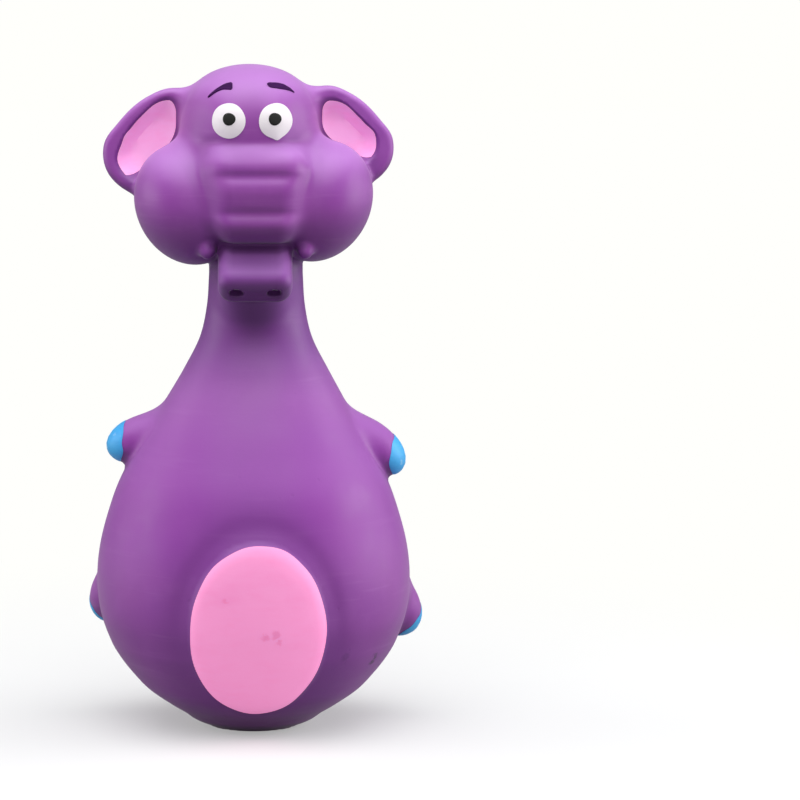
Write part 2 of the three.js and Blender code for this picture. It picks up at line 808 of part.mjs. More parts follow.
function roundFilm(field, x0, z0, halfWidth, halfHeight, sides, shares, lowLevel, highLevel) {
  const rings = [];
  const ringAt = (share, level) => {
    const ring = [];
    for (let i = 0; i < sides; i += 1) {
      const angle = (2 * Math.PI * i) / sides;
      const x = x0 + share * halfWidth * Math.cos(angle);
      const z = z0 + share * halfHeight * Math.sin(angle);
      ring.push(frontPoint(field, x, z, level(share)));
    }
    return ring;
  };
  for (const share of shares) {
    rings.push(ringAt(share, lowLevel));
  }
  for (const share of [...shares].reverse()) {
    rings.push(ringAt(share, highLevel));
  }
  return ringSkin(rings, frontPoint(field, x0, z0, lowLevel(0)), frontPoint(field, x0, z0, highLevel(0)));
}

function eyeLevel(share) {
  return filmGap + filmThick + eyeDome * (1 - share * share);
}

function addEye(name, x, pupilX) {
  const rims = [0.45, 0.8, 1];
  const white = roundFilm(headField, x, eyeHeight, eyeHalfWidth, eyeHalfHeight, limbSides, rims,
    () => -filmThick, eyeLevel);
  addPiece(`eye_white_${name}`, solidOf(white).subtract(headFilmed), look(whitePaint, 0.4));
  const domeAt = (px, pz) => Math.hypot((px - x) / eyeHalfWidth, (pz - eyeHeight) / eyeHalfHeight);
  const dome = (px, py, pz) => headField(px, py, pz) - eyeLevel(domeAt(px, pz));
  const pupilHeight = eyeHeight + pupilRise;
  const pupil = roundFilm(dome, pupilX, pupilHeight, pupilHalfWidth, pupilHalfWidth, limbRings, [0.6, 1],
    () => filmGap, () => filmGap + filmThick);
  addPiece(`pupil_${name}`, pupil, look(darkPaint, 0.35));
}

// Eyebrow: a short brushed stroke with its thick end toward the middle
function browGeometry(side, out, height, shares) {
  const rings = [];
  for (const [along, rise, width] of shares) {
    const x = side * (out - along * browLength);
    const z = height + rise * browLength;
    const half = browHalfWidth * width;
    const lift = filmGap + filmThick;
    const corners = [[half, -filmThick], [half, lift], [-half, lift], [-half, -filmThick]];
    const ring = corners.map(([dz, level]) => frontPoint(headField, x, z + dz, level));
    rings.push(side > 0 ? ring.reverse() : ring);
  }
  const centreOf = (ring) => ring.reduce((sum, p) => sum.add(p), spot(0, 0, 0)).divideScalar(ring.length);
  return ringSkin(rings, centreOf(rings[0]), centreOf(rings[rings.length - 1]));
}

// Filling: loose polyester wadding that follows the hollow
function makeBodyFilling() {
  const low = squeakerTop + capThick + guardThick + 3 * meetGap;
  const heights = evenHeights(low, neckLowHeight, innerRings - 2);
  return torsoSolid(heights, -skinWall - meetGap - meetGap, innerSides);
}

function makeNeckFilling() {
  const heights = evenHeights(neckLowHeight + meetGap, neckHighHeight, neckRings);
  return torsoSolid(heights, -skinWall - meetGap - meetGap, innerSides);
}

function makeHeadFilling() {
  const fill = headSolid(-skinWall - meetGap - meetGap, headInnerShares, headFanRings - 3, innerSides);
  return fill.intersect(heightSlab(neckHighHeight + meetGap, toyHeight));
}

// Lathe pieces of the squeaker turn about +Z
function turned(profile, sides) {
  const points = profile.map(([r, z]) => new THREE.Vector2(r, z));
  points.push(points[0].clone());
  const lathe = new THREE.LatheGeometry(points, sides);
  lathe.rotateX(Math.PI / 2);
  return lathe;
}

function addSqueaker() {
  const unit = new THREE.Group();
  unit.position.set(0, 0, squeakerLift);
  toy.add(unit);
  const bore = squeakerRadius - squeakerWall;
  const low = flangeLow - squeakerLift;
  const high = flangeHigh - squeakerLift;
  const housing = turned([
    [soundHoleRadius, 0],
    [squeakerRadius, 0],
    [squeakerRadius, low],
    [flangeRadius, low],
    [flangeRadius, high],
    [squeakerRadius, high],
    [squeakerRadius, squeakerHeight],
    [bore, squeakerHeight],
    [bore, plateThick],
    [soundHoleRadius, plateThick],
  ], smallSides);
  addPiece("squeaker_housing", solidOf(housing), look(shellWhite, 0.45), unit);

  const capLow = squeakerHeight + meetGap;
  const plug = bore - meetGap;
  const cap = turned([
    [capVentRadius, capLow - capPlugDepth],
    [plug, capLow - capPlugDepth],
    [plug, capLow],
    [squeakerRadius, capLow],
    [squeakerRadius, capLow + capThick],
    [capVentRadius, capLow + capThick],
  ], smallSides);
  addPiece("squeaker_cap", solidOf(cap), look(shellWhite, 0.45), unit);

  const guardLow = capLow + capThick + meetGap;
  let guard = solidOf(turned([
    [guardHoleRadius, guardLow],
    [guardRadius, guardLow],
    [guardRadius, guardLow + guardThick],
    [guardHoleRadius, guardLow + guardThick],
  ], smallSides));
  for (let i = 0; i < guardHoles; i += 1) {
    const hole = new THREE.CylinderGeometry(guardHoleRadius, guardHoleRadius, cutReach, limbRings / 2);
    hole.rotateX(Math.PI / 2);
    const angle = (2 * Math.PI * i) / guardHoles;
    hole.translate(guardHoleCircle * Math.cos(angle), guardHoleCircle * Math.sin(angle), 0);
    guard = guard.subtract(solidOf(hole));
  }
  addPiece("fibre_guard", guard, look(fibreWhite, 0.7), unit);

  const seal = new THREE.TorusGeometry(sealRadius, sealHalfThick, limbRings / 2, smallSides);
  seal.translate(0, 0, high + meetGap + sealHalfThick);
  addPiece("seal_ring", solidOf(seal), look(latex, 0.6), unit);

  const tubeLow = plateThick + meetGap;
  const tube = solidOf(turned([
    [reedTubeBore, tubeLow],
    [reedTubeRadius, tubeLow],
    [reedTubeRadius, tubeLow + reedTubeHeight],
    [reedTubeBore, tubeLow + reedTubeHeight],
  ], limbSides));
  const shoulder = tubeLow + clampHeight;
  const away = new THREE.BoxGeometry(cutReach, cutReach, cutReach);
  away.translate(0, -reedTubeFlat - cutReach / 2, shoulder + cutReach / 2);
  addPiece("reed_tube", tube.subtract(solidOf(away)), look(shellWhite, 0.4), unit);

  const clampLow = shoulder + meetGap;
  const clamp = new THREE.BoxGeometry(clampWidth, clampThick, clampHeight);
  clamp.translate(0, -reedTubeFlat - meetGap - clampThick / 2, clampLow + clampHeight / 2);
  addPiece("reed_clamp", solidOf(clamp), look(shellWhite, 0.4), unit);

  const reedLow = clampLow + clampHeight + meetGap;
  const reed = new THREE.BoxGeometry(reedWidth, reedThick, reedLength);
  reed.translate(0, -reedTubeFlat - reedStandoff - reedThick / 2, reedLow + reedLength / 2);
  addPiece("reed", solidOf(reed), look(brassYellow, 0.3, 0.9), unit);
}

// Put the toy together
addPiece("body_skin", makeBodySkin(), look(latex, 0.55));
addPiece("belly_wall", makeBellyWall(), look(latex, 0.55));
addPiece("neck_skin", makeNeckSkin(), look(latex, 0.55));
addPiece("head_skin", makeHeadSkin(), look(latex, 0.55));
addPiece("trunk_tip", makeTrunkTip(), look(latex, 0.55));

for (const [name, side] of [["left", 1], ["right", -1]]) {
  const sweep = headSweep(side);
  addPiece(`ear_${name}`, earSolid(side).subtract(sweep), look(latex, 0.55));
  addPiece(`ear_lining_${name}`, liningSolid(side).subtract(sweep), look(pinkPaint, 0.5));
}

const armRight = limbPlace(-1, armRightSink, armBack, armRightShare, armRightDroopDegrees, 0);
const armLeft = limbPlace(1, armLeftSink, armBack, armLeftShare, armLeftDroopDegrees, 0);
const legRight = limbPlace(-1, legRightSink, legRightBack, legRightShare, legRightDroopDegrees,
  legRightSweepDegrees);
const legLeft = limbPlace(1, legLeftSink, legLeftBack, legLeftShare, legLeftDroopDegrees,
  legLeftSweepDegrees);
addLimb("arm_right", -1, armRight, armHalfLength, armHalfDepth, armHalfHeight, armTipShare);
addLimb("arm_left", 1, armLeft, armHalfLength, armHalfDepth, armHalfHeight, armTipShare);
addLimb("leg_right", -1, legRight, legHalfLength, legHalfDepth, legHalfHeight, legTipShare);
addLimb("leg_left", 1, legLeft, legHalfLength, legHalfDepth, legHalfHeight, legTipShare);

addEye("left", eyeLeftOut, eyeLeftOut - pupilLeftIn);
addEye("right", -eyeRightOut, pupilRightIn - eyeRightOut);
const browLeft = browGeometry(1, eyeLeftOut + browLeftBeyond, eyeHeight + browLeftRise, browLeftShares);
const browRight = browGeometry(-1, eyeRightOut + browRightBeyond, eyeHeight + browRightRise, browRightShares);
addPiece("eyebrow_left", solidOf(browLeft).subtract(headFilmed), look(browPaint, 0.5));
addPiece("eyebrow_right", solidOf(browRight).subtract(headFilmed), look(browPaint, 0.5));

addPiece("belly_patch", makeBellyPatch(), look(pinkPaint, 0.5));

addPiece("body_filling", makeBodyFilling(), look(fibreWhite, 0.95));
addPiece("neck_filling", makeNeckFilling(), look(fibreWhite, 0.95));
addPiece("head_filling", makeHeadFilling(), look(fibreWhite, 0.95));
addSqueaker();

export default toy;
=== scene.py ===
# %% [markdown]
# # Dressing a squeaky latex toy
# The imported part is a plain set of solids: skins, paint films, wadding and a squeaker. This lesson
# puts finished skins, paint and light over them, so the picture looks like the real toy: one soft
# latex casting in purple, with matte paint brushed on by hand.
#
# Everything rests on the imported frame. It gives the CAD nodes and the box round them, so it is
# loaded before anything is made. The box that no dressed piece may leave.

# %% Load the imported frame
import math

import bmesh
import bpy
import numpy as np
from mathutils import Matrix, Vector


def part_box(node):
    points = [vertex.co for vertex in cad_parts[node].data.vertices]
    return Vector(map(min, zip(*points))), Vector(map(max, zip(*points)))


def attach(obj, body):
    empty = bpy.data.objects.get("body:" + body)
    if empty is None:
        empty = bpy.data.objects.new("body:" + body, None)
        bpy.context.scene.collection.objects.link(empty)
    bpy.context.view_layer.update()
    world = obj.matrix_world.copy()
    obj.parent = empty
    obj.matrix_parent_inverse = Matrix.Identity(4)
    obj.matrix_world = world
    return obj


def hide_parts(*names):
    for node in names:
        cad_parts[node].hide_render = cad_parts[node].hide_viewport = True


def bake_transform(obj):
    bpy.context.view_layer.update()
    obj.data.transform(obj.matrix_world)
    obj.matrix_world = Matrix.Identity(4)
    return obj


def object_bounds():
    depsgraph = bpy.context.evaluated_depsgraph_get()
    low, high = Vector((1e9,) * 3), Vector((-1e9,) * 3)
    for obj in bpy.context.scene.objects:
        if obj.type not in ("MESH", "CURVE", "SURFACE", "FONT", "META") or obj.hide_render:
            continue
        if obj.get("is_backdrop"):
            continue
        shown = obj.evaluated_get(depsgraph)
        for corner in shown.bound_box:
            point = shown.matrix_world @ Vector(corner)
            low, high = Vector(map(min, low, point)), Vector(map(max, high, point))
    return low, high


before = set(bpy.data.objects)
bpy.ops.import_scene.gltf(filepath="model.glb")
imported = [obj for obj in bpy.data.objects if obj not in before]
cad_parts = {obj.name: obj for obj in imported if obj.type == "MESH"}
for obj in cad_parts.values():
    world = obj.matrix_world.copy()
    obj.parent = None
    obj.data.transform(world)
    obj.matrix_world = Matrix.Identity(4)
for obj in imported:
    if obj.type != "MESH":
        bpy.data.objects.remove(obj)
cad_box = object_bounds()
print("CAD nodes:", len(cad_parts))

# %% [markdown]
# ## The camera
# The picture was taken almost level with the toy, from a little above, with a long lens. A camera
# could be placed by eye, but then every later comparison would be off. Here it stands 650 mm from
# the middle of the toy, 7 degrees up, and the lens is worked out from the width that the frame
# covers. The toy sits left of the middle, which the lens shift gives without turning the camera.

# %% Camera
toy_middle = Vector((0.0, 0.0, 0.062))
look_down = math.radians(7.0)
camera_reach = 0.650
frame_width = 0.1508
sensor_width = 36.0


def new_object(name, data):
    made = bpy.data.objects.new(name, data)
    bpy.context.collection.objects.link(made)
    return made


camera_data = bpy.data.cameras.new("camera")
camera_data.sensor_width = sensor_width
camera_data.lens = sensor_width * camera_reach / frame_width
camera_data.shift_x, camera_data.shift_y = 0.1831, -0.0006
camera_data.clip_start, camera_data.clip_end = 0.05, 30.0
camera = new_object("camera", camera_data)
camera.location = toy_middle + camera_reach * Vector((0.0, -math.cos(look_down), math.sin(look_down)))
camera.rotation_euler = (math.pi / 2 - look_down, 0.0, 0.0)
bpy.context.scene.camera = camera
bpy.context.scene.view_settings.view_transform = "Standard"
print("lens %.1f mm" % camera_data.lens)

# %% [markdown]
# ## Node helpers
# Light, paper and every finish are built from shader nodes, so a few short helpers come first. They
# work on the tree that `tree` names at that moment. `node` makes a node, and `feed` fills its sockets
# with numbers or with other nodes' outputs, by place or by name, so a constant goes straight onto its
# socket. `for_camera` shows one shader to the camera and another to every other ray.

# %% Node helpers
def node(kind, **settings):
    made = tree.nodes.new(kind)
    for key, value in settings.items():
        setattr(made, key, value)
    return made


def plug(source, socket):
    if isinstance(source, bpy.types.NodeSocket):
        tree.links.new(source, socket)
    else:
        socket.default_value = source


def feed(target, *sources, **named):
    for label, source in [*enumerate(sources), *named.items()]:
        plug(source, target.inputs[label if isinstance(label, int) else label.replace("_", " ")])
    return target


def for_camera(seen, other):
    seen_by = node("ShaderNodeLightPath").outputs["Is Camera Ray"]
    return feed(node("ShaderNodeMixShader"), seen_by, other, seen).outputs["Shader"]


# %% [markdown]
# ## Light
# The toy is lit like a shop picture. One wide soft square overhead and a little in front does most of
# it, because a small lamp would give hard shadows and a hot spot on the forehead. A weak square at
# each side lifts the flanks, the viewer's right a little more, a faint one in front fills the face,
# and an even glow comes from all sides. The camera itself sees plain white behind the toy.

# %% Lamps and world
lamp_aim = Vector((0.0, 0.0, 0.06))


def soft_lamp(name, place, size, power):
    data = bpy.data.lights.new(name, "AREA")
    data.shape = "SQUARE"
    data.size = size
    data.energy = power
    lamp = new_object(name, data)
    lamp.location = place
    lamp.rotation_euler = (lamp_aim - lamp.location).to_track_quat("-Z", "Y").to_euler()


soft_lamp("overhead_lamp", (0.0, -0.20, 0.69), 1.00, 8.2)
soft_lamp("right_lamp", (0.70, 0.05, 0.22), 0.50, 3.7)
soft_lamp("left_lamp", (-0.70, 0.05, 0.22), 0.50, 2.3)
soft_lamp("front_lamp", (0.0, -0.95, 0.16), 0.60, 0.75)

world = bpy.data.worlds.new("studio")
bpy.context.scene.world = world
world.use_nodes = True
tree = world.node_tree
tree.nodes.clear()
glow = feed(node("ShaderNodeBackground"), (1.0, 0.985, 1.0, 1.0), 0.14)
white = feed(node("ShaderNodeBackground"), (1.0, 1.0, 0.97, 1.0), 1.0)
feed(node("ShaderNodeOutputWorld"), for_camera(white.outputs["Background"], glow.outputs["Background"]))

# %% [markdown]
# ## The floor
# A white sheet under the toy. What the camera sees is white paper with the toy's soft shadow, but a
# sheet that bright would throw light up under the cheeks and the belly, and there the real toy is
# dark. So the camera gets a bright paper and every other ray a greyer one. Away from the toy the
# paper fades into plain white, so that no edge shows against the background.

# %% Floor
def ramp(value, low, high, to_low=0.0, to_high=1.0):
    made = node("ShaderNodeMapRange", interpolation_type="SMOOTHSTEP")
    return feed(made, value, low, high, to_low, to_high).outputs["Result"]


floor_half = 3.0
floor_mesh = bpy.data.meshes.new("floor")
bm = bmesh.new()
bmesh.ops.create_grid(bm, x_segments=12, y_segments=12, size=floor_half)
bm.to_mesh(floor_mesh)
bm.free()
floor = new_object("floor", floor_mesh)
floor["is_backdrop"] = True

paper = bpy.data.materials.new("white_paper")
paper.use_nodes = True
tree = paper.node_tree
tree.nodes.clear()
seen = feed(node("ShaderNodeBsdfDiffuse"), (0.51, 0.515, 0.52, 1.0))
unseen = feed(node("ShaderNodeBsdfDiffuse"), (0.30, 0.30, 0.31, 1.0))
lift = feed(node("ShaderNodeEmission"), (1.0, 1.0, 0.985, 1.0), 0.33)
far_paper = feed(node("ShaderNodeEmission"), (1.0, 1.0, 0.975, 1.0))
near_paper = feed(node("ShaderNodeAddShader"), seen.outputs["BSDF"], lift.outputs["Emission"])
apart = feed(node("ShaderNodeVectorMath", operation="LENGTH"), node("ShaderNodeTexCoord").outputs["Object"])
sheet = feed(node("ShaderNodeMixShader"), ramp(apart.outputs["Value"], 0.05, 0.19),
             near_paper.outputs["Shader"], far_paper.outputs["Emission"])
feed(node("ShaderNodeOutputMaterial"), for_camera(sheet.outputs["Shader"], unseen.outputs["BSDF"]))
floor_mesh.materials.append(paper)
print("floor %.0f m wide, paper of %d nodes" % (2 * floor_half, len(tree.nodes)))

# %% [markdown]
# ## Shaping the latex
# The real toy is dipped in one mould, so every fold runs softly into the next. It could be sculpted
# from one box with subdivision, but the swells would drift away from the measured ones. Instead each
# swell is a small formula that gives the distance to its surface, negative inside. Two swells are
# joined with a rounded minimum, and that leaves exactly the soft valley that poured latex has.
# All formulas are in millimetres and take an array of points, one row each.

# %% Building blocks of the form
def ease(low, high, value):
    t = np.clip((value - low) / (high - low), 0.0, 1.0)
    return t * t * (3.0 - 2.0 * t)


def ball(offset, half):
    near = np.linalg.norm(offset / half, axis=-1)
    far = np.linalg.norm(offset / np.square(half), axis=-1)
    return near * (near - 1.0) / np.maximum(far, 1e-9)


def rounded_block(offset, half, corner):
    past = np.abs(offset) - half + corner
    outside = np.linalg.norm(np.maximum(past, 0.0), axis=-1)
    return outside + np.minimum(past.max(axis=-1), 0.0) - corner


def join(a, b, reach):
    near = np.maximum(reach - np.abs(a - b), 0.0) / reach
    return np.minimum(a, b) - near * near * reach / 4.0


def bump_line(value, middle, width):
    return np.exp(-np.square((value - middle) / width))


print("a join over 4 mm fills its valley by %.1f mm" % -join(0.0, 0.0, 4.0))

# %% [markdown]
# ### The body
# The body is a pear turned round the upright axis and slightly flat from front to back. Its outline
# is a list of heights and radii, both as shares, with a smooth curve through them. The neck leans
# over by less than half a millimetre.

# %% Body outline
waist_height = 86.0
body_half_width = 29.6
body_depth_share = 0.93
outline = np.array([
    (0.0, 0.28), (0.015, 0.385), (0.032, 0.455), (0.05, 0.54), (0.085, 0.682), (0.121, 0.78),
    (0.156, 0.858), (0.191, 0.916), (0.256, 0.98), (0.333, 1.0), (0.402, 0.981), (0.473, 0.929),
    (0.544, 0.855), (0.628, 0.725), (0.721, 0.571), (0.791, 0.456), (0.86, 0.356), (0.93, 0.311),
    (1.0, 0.297),
]) * (waist_height, body_half_width)
outline_slope = np.gradient(outline[:, 1], outline[:, 0])
outline_slope[1:-1] = (outline[2:, 1] - outline[:-2, 1]) / (outline[2:, 0] - outline[:-2, 0])


def radius_at(height):
    height = np.clip(height, outline[0, 0], outline[-1, 0])
    k = np.clip(np.searchsorted(outline[:, 0], height) - 1, 0, len(outline) - 2)
    gap = outline[k + 1, 0] - outline[k, 0]
    t = (height - outline[k, 0]) / gap
    a, b = outline[k, 1], outline[k + 1, 1]
    da, db = outline_slope[k] * gap, outline_slope[k + 1] * gap
    radius = a + t * (da + t * (3 * (b - a) - 2 * da - db + t * (2 * (a - b) + da + db)))
    slope = (da + t * (6 * (b - a) - 4 * da - 2 * db + 3 * t * (2 * (a - b) + da + db))) / gap
    return radius, slope


neck_lean = 0.45
lean_low, lean_high = 51.6, 68.8


def plain_body(p):
    x, y, z = p[:, 0], p[:, 1], p[:, 2]
    radius, slope = radius_at(z)
    aside = x - neck_lean * ease(lean_low, lean_high, z)
    return (np.hypot(aside, y / body_depth_share) - radius) / np.hypot(1.0, slope)


print("body %.1f mm wide, %.1f mm deep" % (2 * body_half_width, 2 * body_half_width * body_depth_share))

# %% [markdown]
# ### Arms, legs and belly pad
# The four limbs are stubs: stretched balls that point down and out. Each has its own tilt, in
# degrees, because the real ones aren't a matched pair, and each runs into the body with a fillet that
# is wider over it than under it. The belly pad is a low oval step with a soft moat over it, because
# there the real casting sinks a little before the paint begins.

# %% Limbs and belly pad
arm_half = np.array((8.0, 5.6, 4.7))
leg_half = np.array((9.3, 6.2, 5.8))
fillet_under, fillet_over = 1.5, 3.3
limbs = {
    "arm_right": dict(side=-1, centre=(-19.9, 2.0, 54.4), droop=14, sweep=0, half=arm_half),
    "arm_left": dict(side=1, centre=(21.6, 2.0, 53.2), droop=34, sweep=0, half=arm_half),
    "leg_right": dict(side=-1, centre=(-24.3, 9.0, 25.2), droop=45, sweep=35, half=leg_half),
    "leg_left": dict(side=1, centre=(24.8, 7.0, 23.1), droop=45, sweep=25, half=leg_half),
}
for limb in limbs.values():
    swing = Matrix.Rotation(math.radians(limb["side"] * limb["sweep"]), 3, "Z")
    sink = Matrix.Rotation(math.radians(limb["side"] * limb["droop"]), 3, "Y")
    limb["turn"] = np.array(swing @ sink)
    limb["centre"] = np.array(limb["centre"])

pad_centre = np.array((0.8, 22.2))
pad_half = np.array((13.45, 17.6))
pad_rise, pad_edge = 0.8, (0.84, 0.98)
moat_depth, moat_middle, moat_width = 0.3, 1.08, 0.12


def pad_share(p):
    return np.hypot((p[:, 0] - pad_centre[0]) / pad_half[0], (p[:, 2] - pad_centre[1]) / pad_half[1])


def body_form(p):
    form = plain_body(p)
    for limb in limbs.values():
        away = p - limb["centre"]
        reach = fillet_under + (fillet_over - fillet_under) * ease(-3.0, 4.0, away[:, 2])
        form = join(form, ball(away @ limb["turn"], limb["half"]), reach)
    share = pad_share(p)
    front = ease(-9.0, -15.0, p[:, 1])
    upper = ease(10.0, 30.0, p[:, 2])
    step = pad_rise * (1.0 - ease(*pad_edge, share))
    moat = moat_depth * upper * bump_line(share, moat_middle, moat_width)
    return form - front * (step - moat)


print("limbs:", ", ".join(limbs))

# %% [markdown]
# ### The head
# The head is built from few swells, as the sculptor of the mould would do: a round skull, two fat
# cheeks, the block of the upper trunk, the neck and a chin. Each fold across the trunk is a ridge or
# a groove of fixed width, pressed into the block. A fold is written as its height, its rise and its
# width. Each join has its own reach: wide where the casting is full, narrow where a crease runs.

# %% Head swells
skull_centre, skull_half = np.array((-0.8, -0.5, 109.4)), np.array((12.9, 15.2, 15.6))
skull_fullness, skull_back = 1.75, 0.7
cheek_centre, cheek_half = np.array((12.1, -3.5, 99.1)), np.array((9.8, 12.4, 11.6))
cheek_tilt = np.array(Matrix.Rotation(math.radians(25.0), 3, "Y"))
cheek_left_rise, cheek_middle = 0.6, 3.0
trunk_centre, trunk_half = np.array((0.5, -9.5, 101.4)), np.array((9.6, 9.3, 8.8))
chin_centre, chin_half = np.array((0.0, -7.6, 83.4)), np.array((5.8, 4.2, 5.4))
trunk_corner, trunk_taper = 5.0, 0.14
folds = ((102.4, 0.35, 2.0), (95.6, 0.3, 2.0), (105.0, -0.5, 1.15), (98.1, -0.45, 1.15))
fold_fade = 5.2
cheek_join, trunk_join, chin_join, throat_join = 4.0, 2.8, 4.0, 1.2


def upper_trunk(p):
    z = p[:, 2] - trunk_centre[2]
    taper = 1.0 - trunk_taper * ease(trunk_half[2], -trunk_half[2], z)
    local = p - trunk_centre
    local[:, 0] /= taper
    form = rounded_block(local, trunk_half, trunk_corner)
    across = ease(trunk_half[0], trunk_half[0] - fold_fade, np.abs(local[:, 0]))
    for height, rise, width in folds:
        form = form - rise * across * bump_line(p[:, 2], height, width)
    return form


def neck(p):
    return np.maximum(plain_body(p), p[:, 2] - cheek_centre[2])


def skull_and_cheeks(p):
    local = p - skull_centre
    up = local[:, 2] / skull_half[2]
    behind = ease(0.0, skull_back, local[:, 1] / skull_half[1])
    fullness = skull_fullness - (skull_fullness - 1.0) * behind
    local[:, 2] = skull_half[2] * np.sign(up) * np.abs(up) ** fullness
    mirrored = p.copy()
    mirrored[:, 0] = np.abs(mirrored[:, 0])
    mirrored[:, 2] -= cheek_left_rise * ease(-cheek_middle, cheek_middle, p[:, 0])
    cheek = ball((mirrored - cheek_centre) @ cheek_tilt, cheek_half)
    return join(ball(local, skull_half), cheek, cheek_join)


def bare_head(p):
    face = join(skull_and_cheeks(p), upper_trunk(p), trunk_join)
    throat = join(neck(p), ball(p - chin_centre, chin_half), chin_join)
    return join(face, throat, throat_join)


print("folds across the trunk:", len(folds))

# %% [markdown]
# The eyes bulge a little through the brow, so each gets a low mound under its paint, with a shallow
# groove below both. The tip of the trunk is a tilted block with two nostril pits, and two small tusk
# buds sit where trunk and cheeks meet. All of them are joined over the bare head.

# %% Trunk tip, tusk buds and eye mounds
tip_half, tip_corner = np.array((6.85, 3.6, 7.0)), 2.8
tip_face = np.array((0.3, -16.8, 83.2))
tip_tilt = math.radians(45.0)
tip_out = np.array((0.0, -math.cos(tip_tilt), -math.sin(tip_tilt)))
tip_up = np.array((0.0, -math.sin(tip_tilt), math.cos(tip_tilt)))
tip_frame = np.stack([(1.0, 0.0, 0.0), tip_up, tip_out], axis=1)
nostril_out, nostril_up, nostril_half = 3.45, 0.4, np.array((1.3, 0.95, 2.6))
bud_half = np.array((1.4, 1.5, 1.5))
bud_stand, bud_height = 0.5, 91.0
tip_join, bud_join = 0.9, 1.4
eye_places = np.array(((-4.5, 115.0), (4.0, 115.0)))
eye_half = np.array((3.0, 3.2))
mound_rise, mound_half = 0.5, np.array((3.6, 3.8))
groove_depth, groove_height = 0.25, 110.9


def front_of(form, x, z, level):
    near, far = -40.0, 0.0
    for _ in range(24):
        middle = (near + far) / 2
        outside = form(np.array(((x, middle, z),)))[0] > level
        near, far = (middle, far) if outside else (near, middle)
    return near


bud_places = [np.array((x, front_of(bare_head, x, bud_height, bud_stand), bud_height)) for x in (-8.5, 9.5)]
print("buds at", np.round(bud_places, 1).tolist())


def trunk_tip(p):
    local = (p - (tip_face - tip_half[2] * tip_out)) @ tip_frame
    form = rounded_block(local, tip_half, tip_corner)
    for side in (-1, 1):
        pit = ball(local - np.array((side * nostril_out, nostril_up, tip_half[2])), nostril_half)
        form = np.maximum(form, -pit)
    return form


def head_form(p):
    form = bare_head(p)
    for eye in eye_places:
        away = np.square((p[:, ::2] - eye) / mound_half).sum(axis=1)
        form = form - mound_rise * np.exp(-away) * ease(0.0, -6.0, p[:, 1])
    groove = groove_depth * bump_line(p[:, 2], groove_height, 1.0) * ease(10.5, 7.0, np.abs(p[:, 0]))
    form = form + groove * ease(-8.0, -12.0, p[:, 1])
    form = join(form, trunk_tip(p), tip_join)
    for place in bud_places:
        form = join(form, ball(p - place, bud_half), bud_join)
    return form


# %% [markdown]
# ### The ears
# An ear is a bent sheet with a rolled rim round a shallow bowl. In its own frame one direction runs
# down its root, one runs outward, and one looks out of the bowl. Its outline and the edge of its
# bowl are radii at twelve angles with a smooth closed curve through them, so that each ear can have
# the uneven outline of the real one.

# %% Ear sheets
ear_lean, ear_turn = math.radians(27.0), math.radians(10.0)
rim_shares = np.array((0.88, 0.85, 0.76, 0.62, 0.62, 0.74, 0.98, 1.08, 0.95, 0.85, 0.85, 0.92))
rim_half, sheet_half, bowl_depth = 1.6, 1.0, 2.4
ear_join_low, ear_join_high = 1.6, 3.6
ears = {
    "right": dict(side=-1, centre=np.array((-19.4, 1.2, 110.4)), half=11.5, bowl=np.array(
        (0.66, 0.61, 0.45, 0.38, 0.39, 0.50, 0.77, 0.82, 0.76, 0.72, 0.70, 0.68))),
    "left": dict(side=1, centre=np.array((17.9, 1.2, 111.4)), half=10.9, bowl=np.array(
        (0.51, 0.50, 0.45, 0.36, 0.35, 0.45, 0.70, 0.85, 0.78, 0.72, 0.64, 0.55))),
}
for ear in ears.values():
    side = ear["side"]
    along = np.array((side * math.sin(ear_lean), 0.0, -math.cos(ear_lean)))
    flat_out = np.array((side * math.cos(ear_lean), 0.0, math.sin(ear_lean)))
    back = np.array((0.0, 1.0, 0.0))
    across = flat_out * math.cos(ear_turn) + back * math.sin(ear_turn)
    front = flat_out * math.sin(ear_turn) - back * math.cos(ear_turn)
    ear.update(flat_out=flat_out, frame=np.stack([along, across, front], axis=1))


def round_curve(shares, angle):
    count = len(shares)
    place = np.mod(angle / (2 * math.pi) * count, count)
    i = np.floor(place).astype(int)
    t = place - i
    a, b, c, d = (shares[(i + k) % count] for k in (-1, 0, 1, 2))
    return b + (t / 2) * (c - a + t * (2 * a - 5 * b + 4 * c - d + t * (3 * (b - c) + d - a)))


def ear_form(p, ear):
    local = (p - ear["centre"]) @ ear["frame"]
    reach = np.hypot(local[:, 0], local[:, 1])
    angle = np.arctan2(local[:, 1], local[:, 0])
    rim = ear["half"] * round_curve(rim_shares, angle)
    bowl = ear["half"] * round_curve(ear["bowl"], angle)
    deep = 1.0 - ease(0.55, 1.12, reach / bowl)
    half = rim_half + (sheet_half - rim_half) * deep
    middle = -(bowl_depth + rim_half - sheet_half) * deep
    over = np.maximum(reach - (rim - rim_half), 0.0)
    return np.hypot(over, local[:, 2] - middle) - half


def whole_head(p):
    form = head_form(p)
    reach = ear_join_low + (ear_join_high - ear_join_low) * ease(108.0, 114.0, p[:, 2])
    for ear in ears.values():
        form = join(form, ear_form(p, ear), reach)
    return form


for name, ear in ears.items():
    print("%s ear: %.1f mm from middle to rim at most" % (name, ear["half"] * rim_shares.max()))

# %% [markdown]
# ## From form to mesh
# A form is only a formula, and a mesh of it needs points that lie on its surface. A point that is
# merely near slides along the slope of the form until it lies on it exactly. The slope is measured by
# small steps to both sides, so no formula has to be differentiated by hand.

# %% Slide points onto a form
def slope_of(form, p, h=0.02):
    steps = np.eye(3) * h
    return np.stack([(form(p + s) - form(p - s)) / (2 * h) for s in steps], axis=-1)


